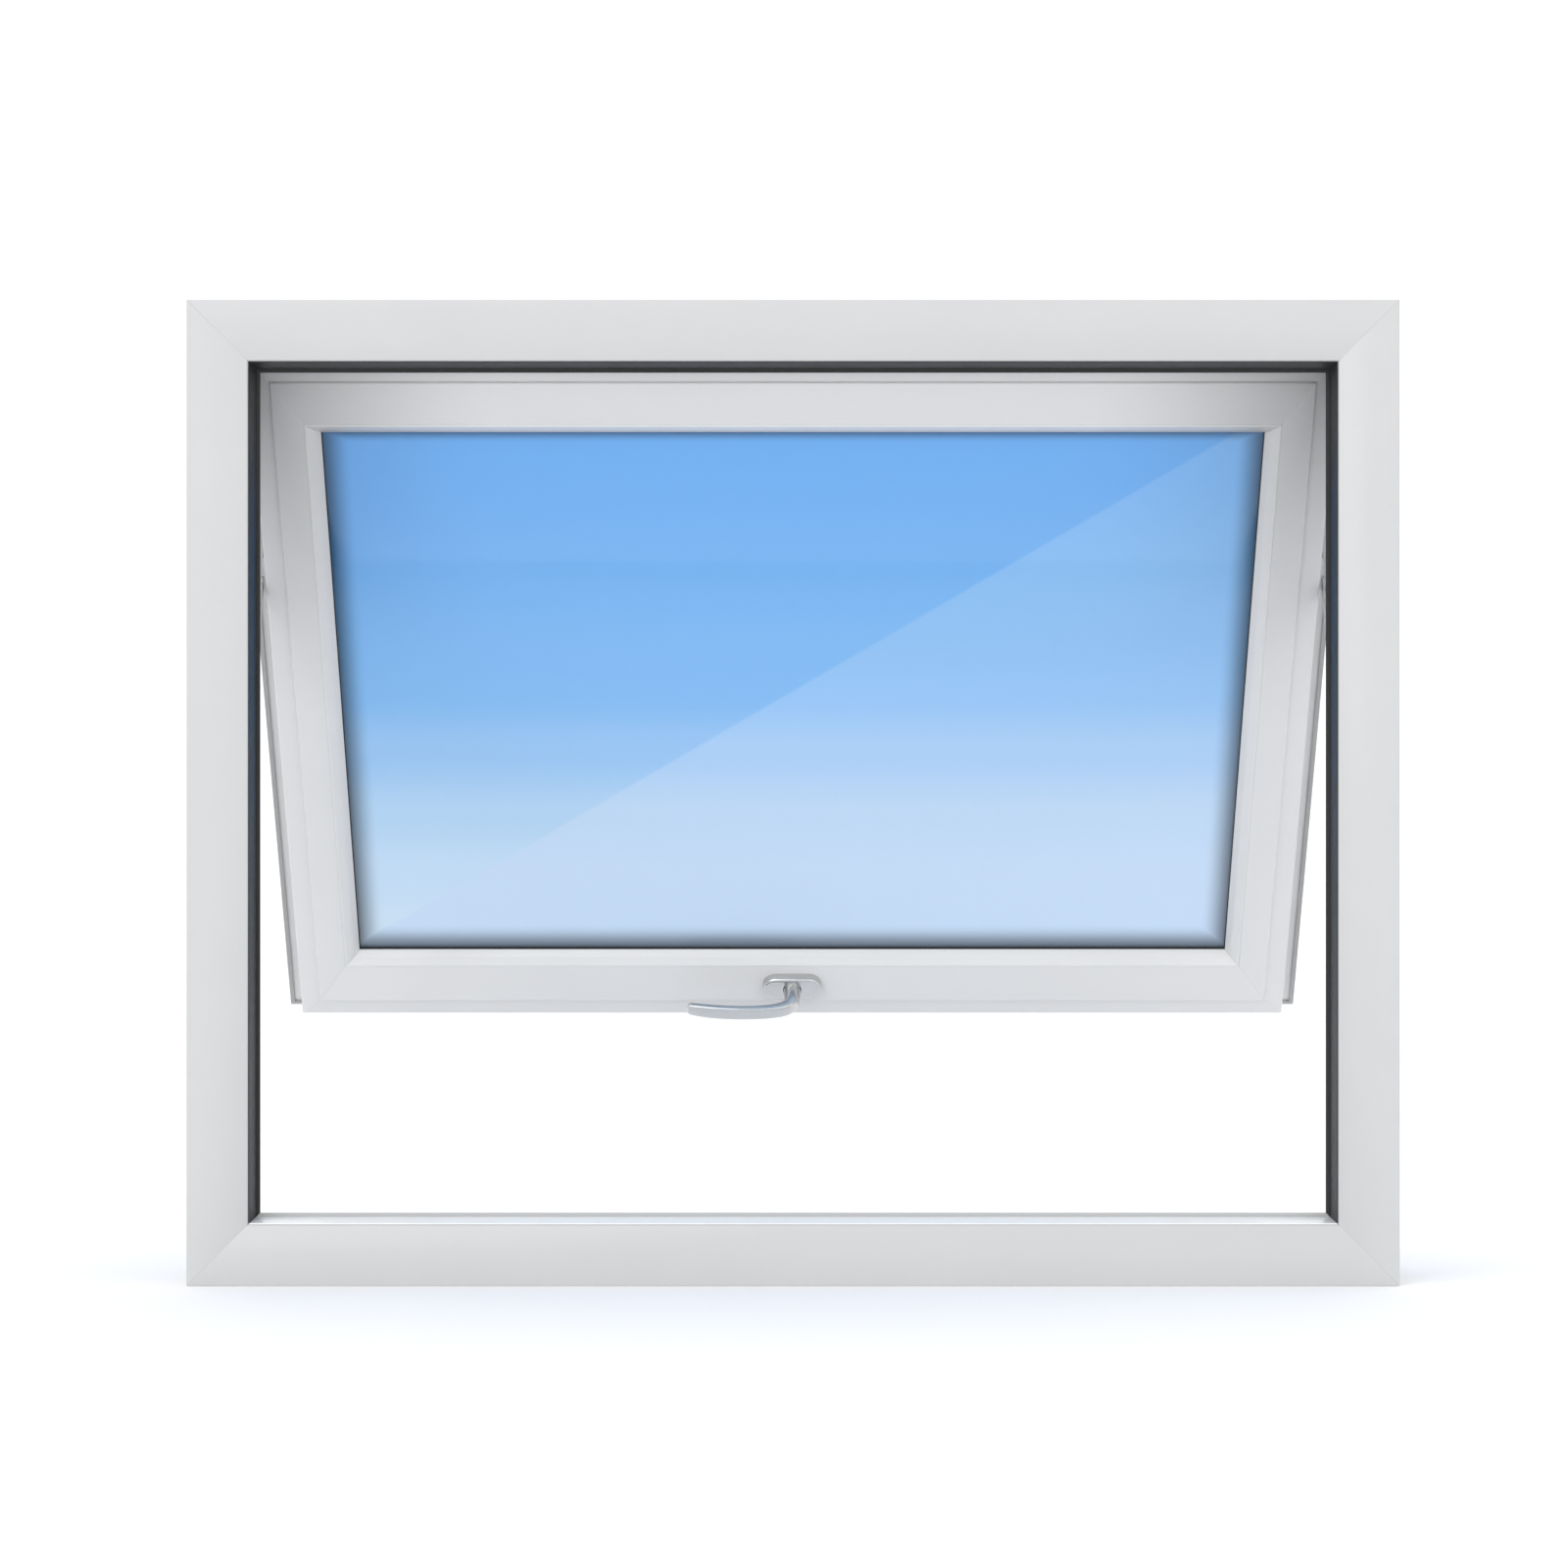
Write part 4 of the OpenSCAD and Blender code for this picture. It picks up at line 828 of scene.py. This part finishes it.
def lever_points():
    """Rings of a superellipse with the power p, (|cos t| to the power 2/p, |sin t| to 2/p) times its
    half width and half thickness, square to the curve. The tip's rings shrink as a quarter ellipse."""
    rows = smooth_rows(LEVER, LEVER_ROWS)
    along = np.gradient(rows[:, :2], axis=0)
    along /= np.linalg.norm(along, axis=1, keepdims=True)
    tip = np.linspace(0, 1, TIP_ROWS)[:, None]
    end = np.repeat(rows[-1:], TIP_ROWS, 0)
    end[:, :2] += along[-1] * tip * TIP_REACH
    end[:, 2:4] *= np.sqrt(np.maximum(1 - tip**2, TIP_LEAST))
    rows = np.vstack([rows, end])
    along = np.vstack([along, np.repeat(along[-1:], TIP_ROWS, 0)])
    t = np.linspace(0, 2 * math.pi, LEVER_ROUND, endpoint=False)
    power = 2 / rows[:, 4:5]
    across = np.sign(np.cos(t)) * np.abs(np.cos(t)) ** power * rows[:, 2:3]
    thick = np.sign(np.sin(t)) * np.abs(np.sin(t)) ** power * rows[:, 3:4]
    x = rows[:, :1] - along[:, 1:] * thick
    out = rows[:, 1:2] + along[:, :1] * thick
    return np.stack([x, across, out], -1).reshape(-1, 3)


faces = tube_faces(LEVER_ROWS + TIP_ROWS, LEVER_ROUND)
piece = face_out(new_mesh("cast_lever", on_grip(lever_points() * MM), faces, 50))
fit(piece, satin_silver, "handle", "lever")
dress(zinc, "spindle")

# ---- Room --------------------------------------------------------------------
# A pale seamless floor that curves up into a backdrop, broad soft light from both
# sides and from behind, and a level camera a little under five metres in front.
FLOOR_HALF, FLOOR_NEAR, FLOOR_BACK, WALL_HIGH, COVE_R, COVE_RINGS = 40.0, -40.0, 6.0, 12.0, 1.5, 17
FLOOR_COLOUR, SKYLIGHT, SKYLIGHT_STRENGTH = (0.93, 0.93, 0.94, 1), (0.985, 0.993, 1.0, 1), 0.84
CAMERA_X, CAMERA_Z, CAMERA_Y = -0.0093, 0.513, ROOM_Y - 4.806


def coved_floor():
    """A flat floor that turns up into a wall by a quarter circle: y and z from the cove's start are
    r sin t and r - r cos t."""
    t = np.linspace(0, math.pi / 2, COVE_RINGS)
    y = np.concatenate([[FLOOR_NEAR], FLOOR_BACK - COVE_R + COVE_R * np.sin(t), [FLOOR_BACK]])
    z = np.concatenate([[0.0], COVE_R - COVE_R * np.cos(t), [WALL_HIGH]])
    n = len(y)
    edges = [np.column_stack([np.full(n, x), y, z]) for x in (-FLOOR_HALF, FLOOR_HALF)]
    i = np.arange(n - 1)
    return new_mesh("floor", np.vstack(edges), np.column_stack([i, n + i, n + i + 1, i + 1]).tolist(), 60)


floor = coved_floor()
paint = bpy.data.materials.new("floor_paint")
paint.use_nodes = True
shader = paint.node_tree.nodes["Principled BSDF"]
shader.inputs["Base Color"].default_value = FLOOR_COLOUR
shader.inputs["Roughness"].default_value = 0.9
floor.data.materials.append(paint)

world = bpy.data.worlds.new("world")
world.use_nodes = True
backdrop = world.node_tree.nodes["Background"]
backdrop.inputs["Color"].default_value = SKYLIGHT
backdrop.inputs["Strength"].default_value = SKYLIGHT_STRENGTH
bpy.context.scene.world = world
for name, towards, strength, width in [
    ("key", (-0.45, -0.80, 0.55), 1.00, 50),
    ("fill", (0.60, -0.80, 0.22), 0.50, 60),
    ("sky", (0.15, 0.55, 0.85), 0.62, 60),
]:
    data = bpy.data.lights.new(name, "SUN")
    data.energy = strength
    data.angle = math.radians(width)
    light = bpy.data.objects.new(name, data)
    bpy.context.scene.collection.objects.link(light)
    x, y, z = towards
    light.rotation_euler = (math.atan2(math.hypot(x, y), z), 0, math.atan2(x, -y))

lens = bpy.data.cameras.new("camera")
lens.sensor_width = 36.0
lens.lens = 108.0
camera = bpy.data.objects.new("camera", lens)
bpy.context.scene.collection.objects.link(camera)
camera.location = (CAMERA_X, CAMERA_Y, CAMERA_Z)
camera.rotation_euler = (math.radians(90), 0, 0)
bpy.context.scene.camera = camera
bpy.context.scene.view_settings.view_transform = "Standard"
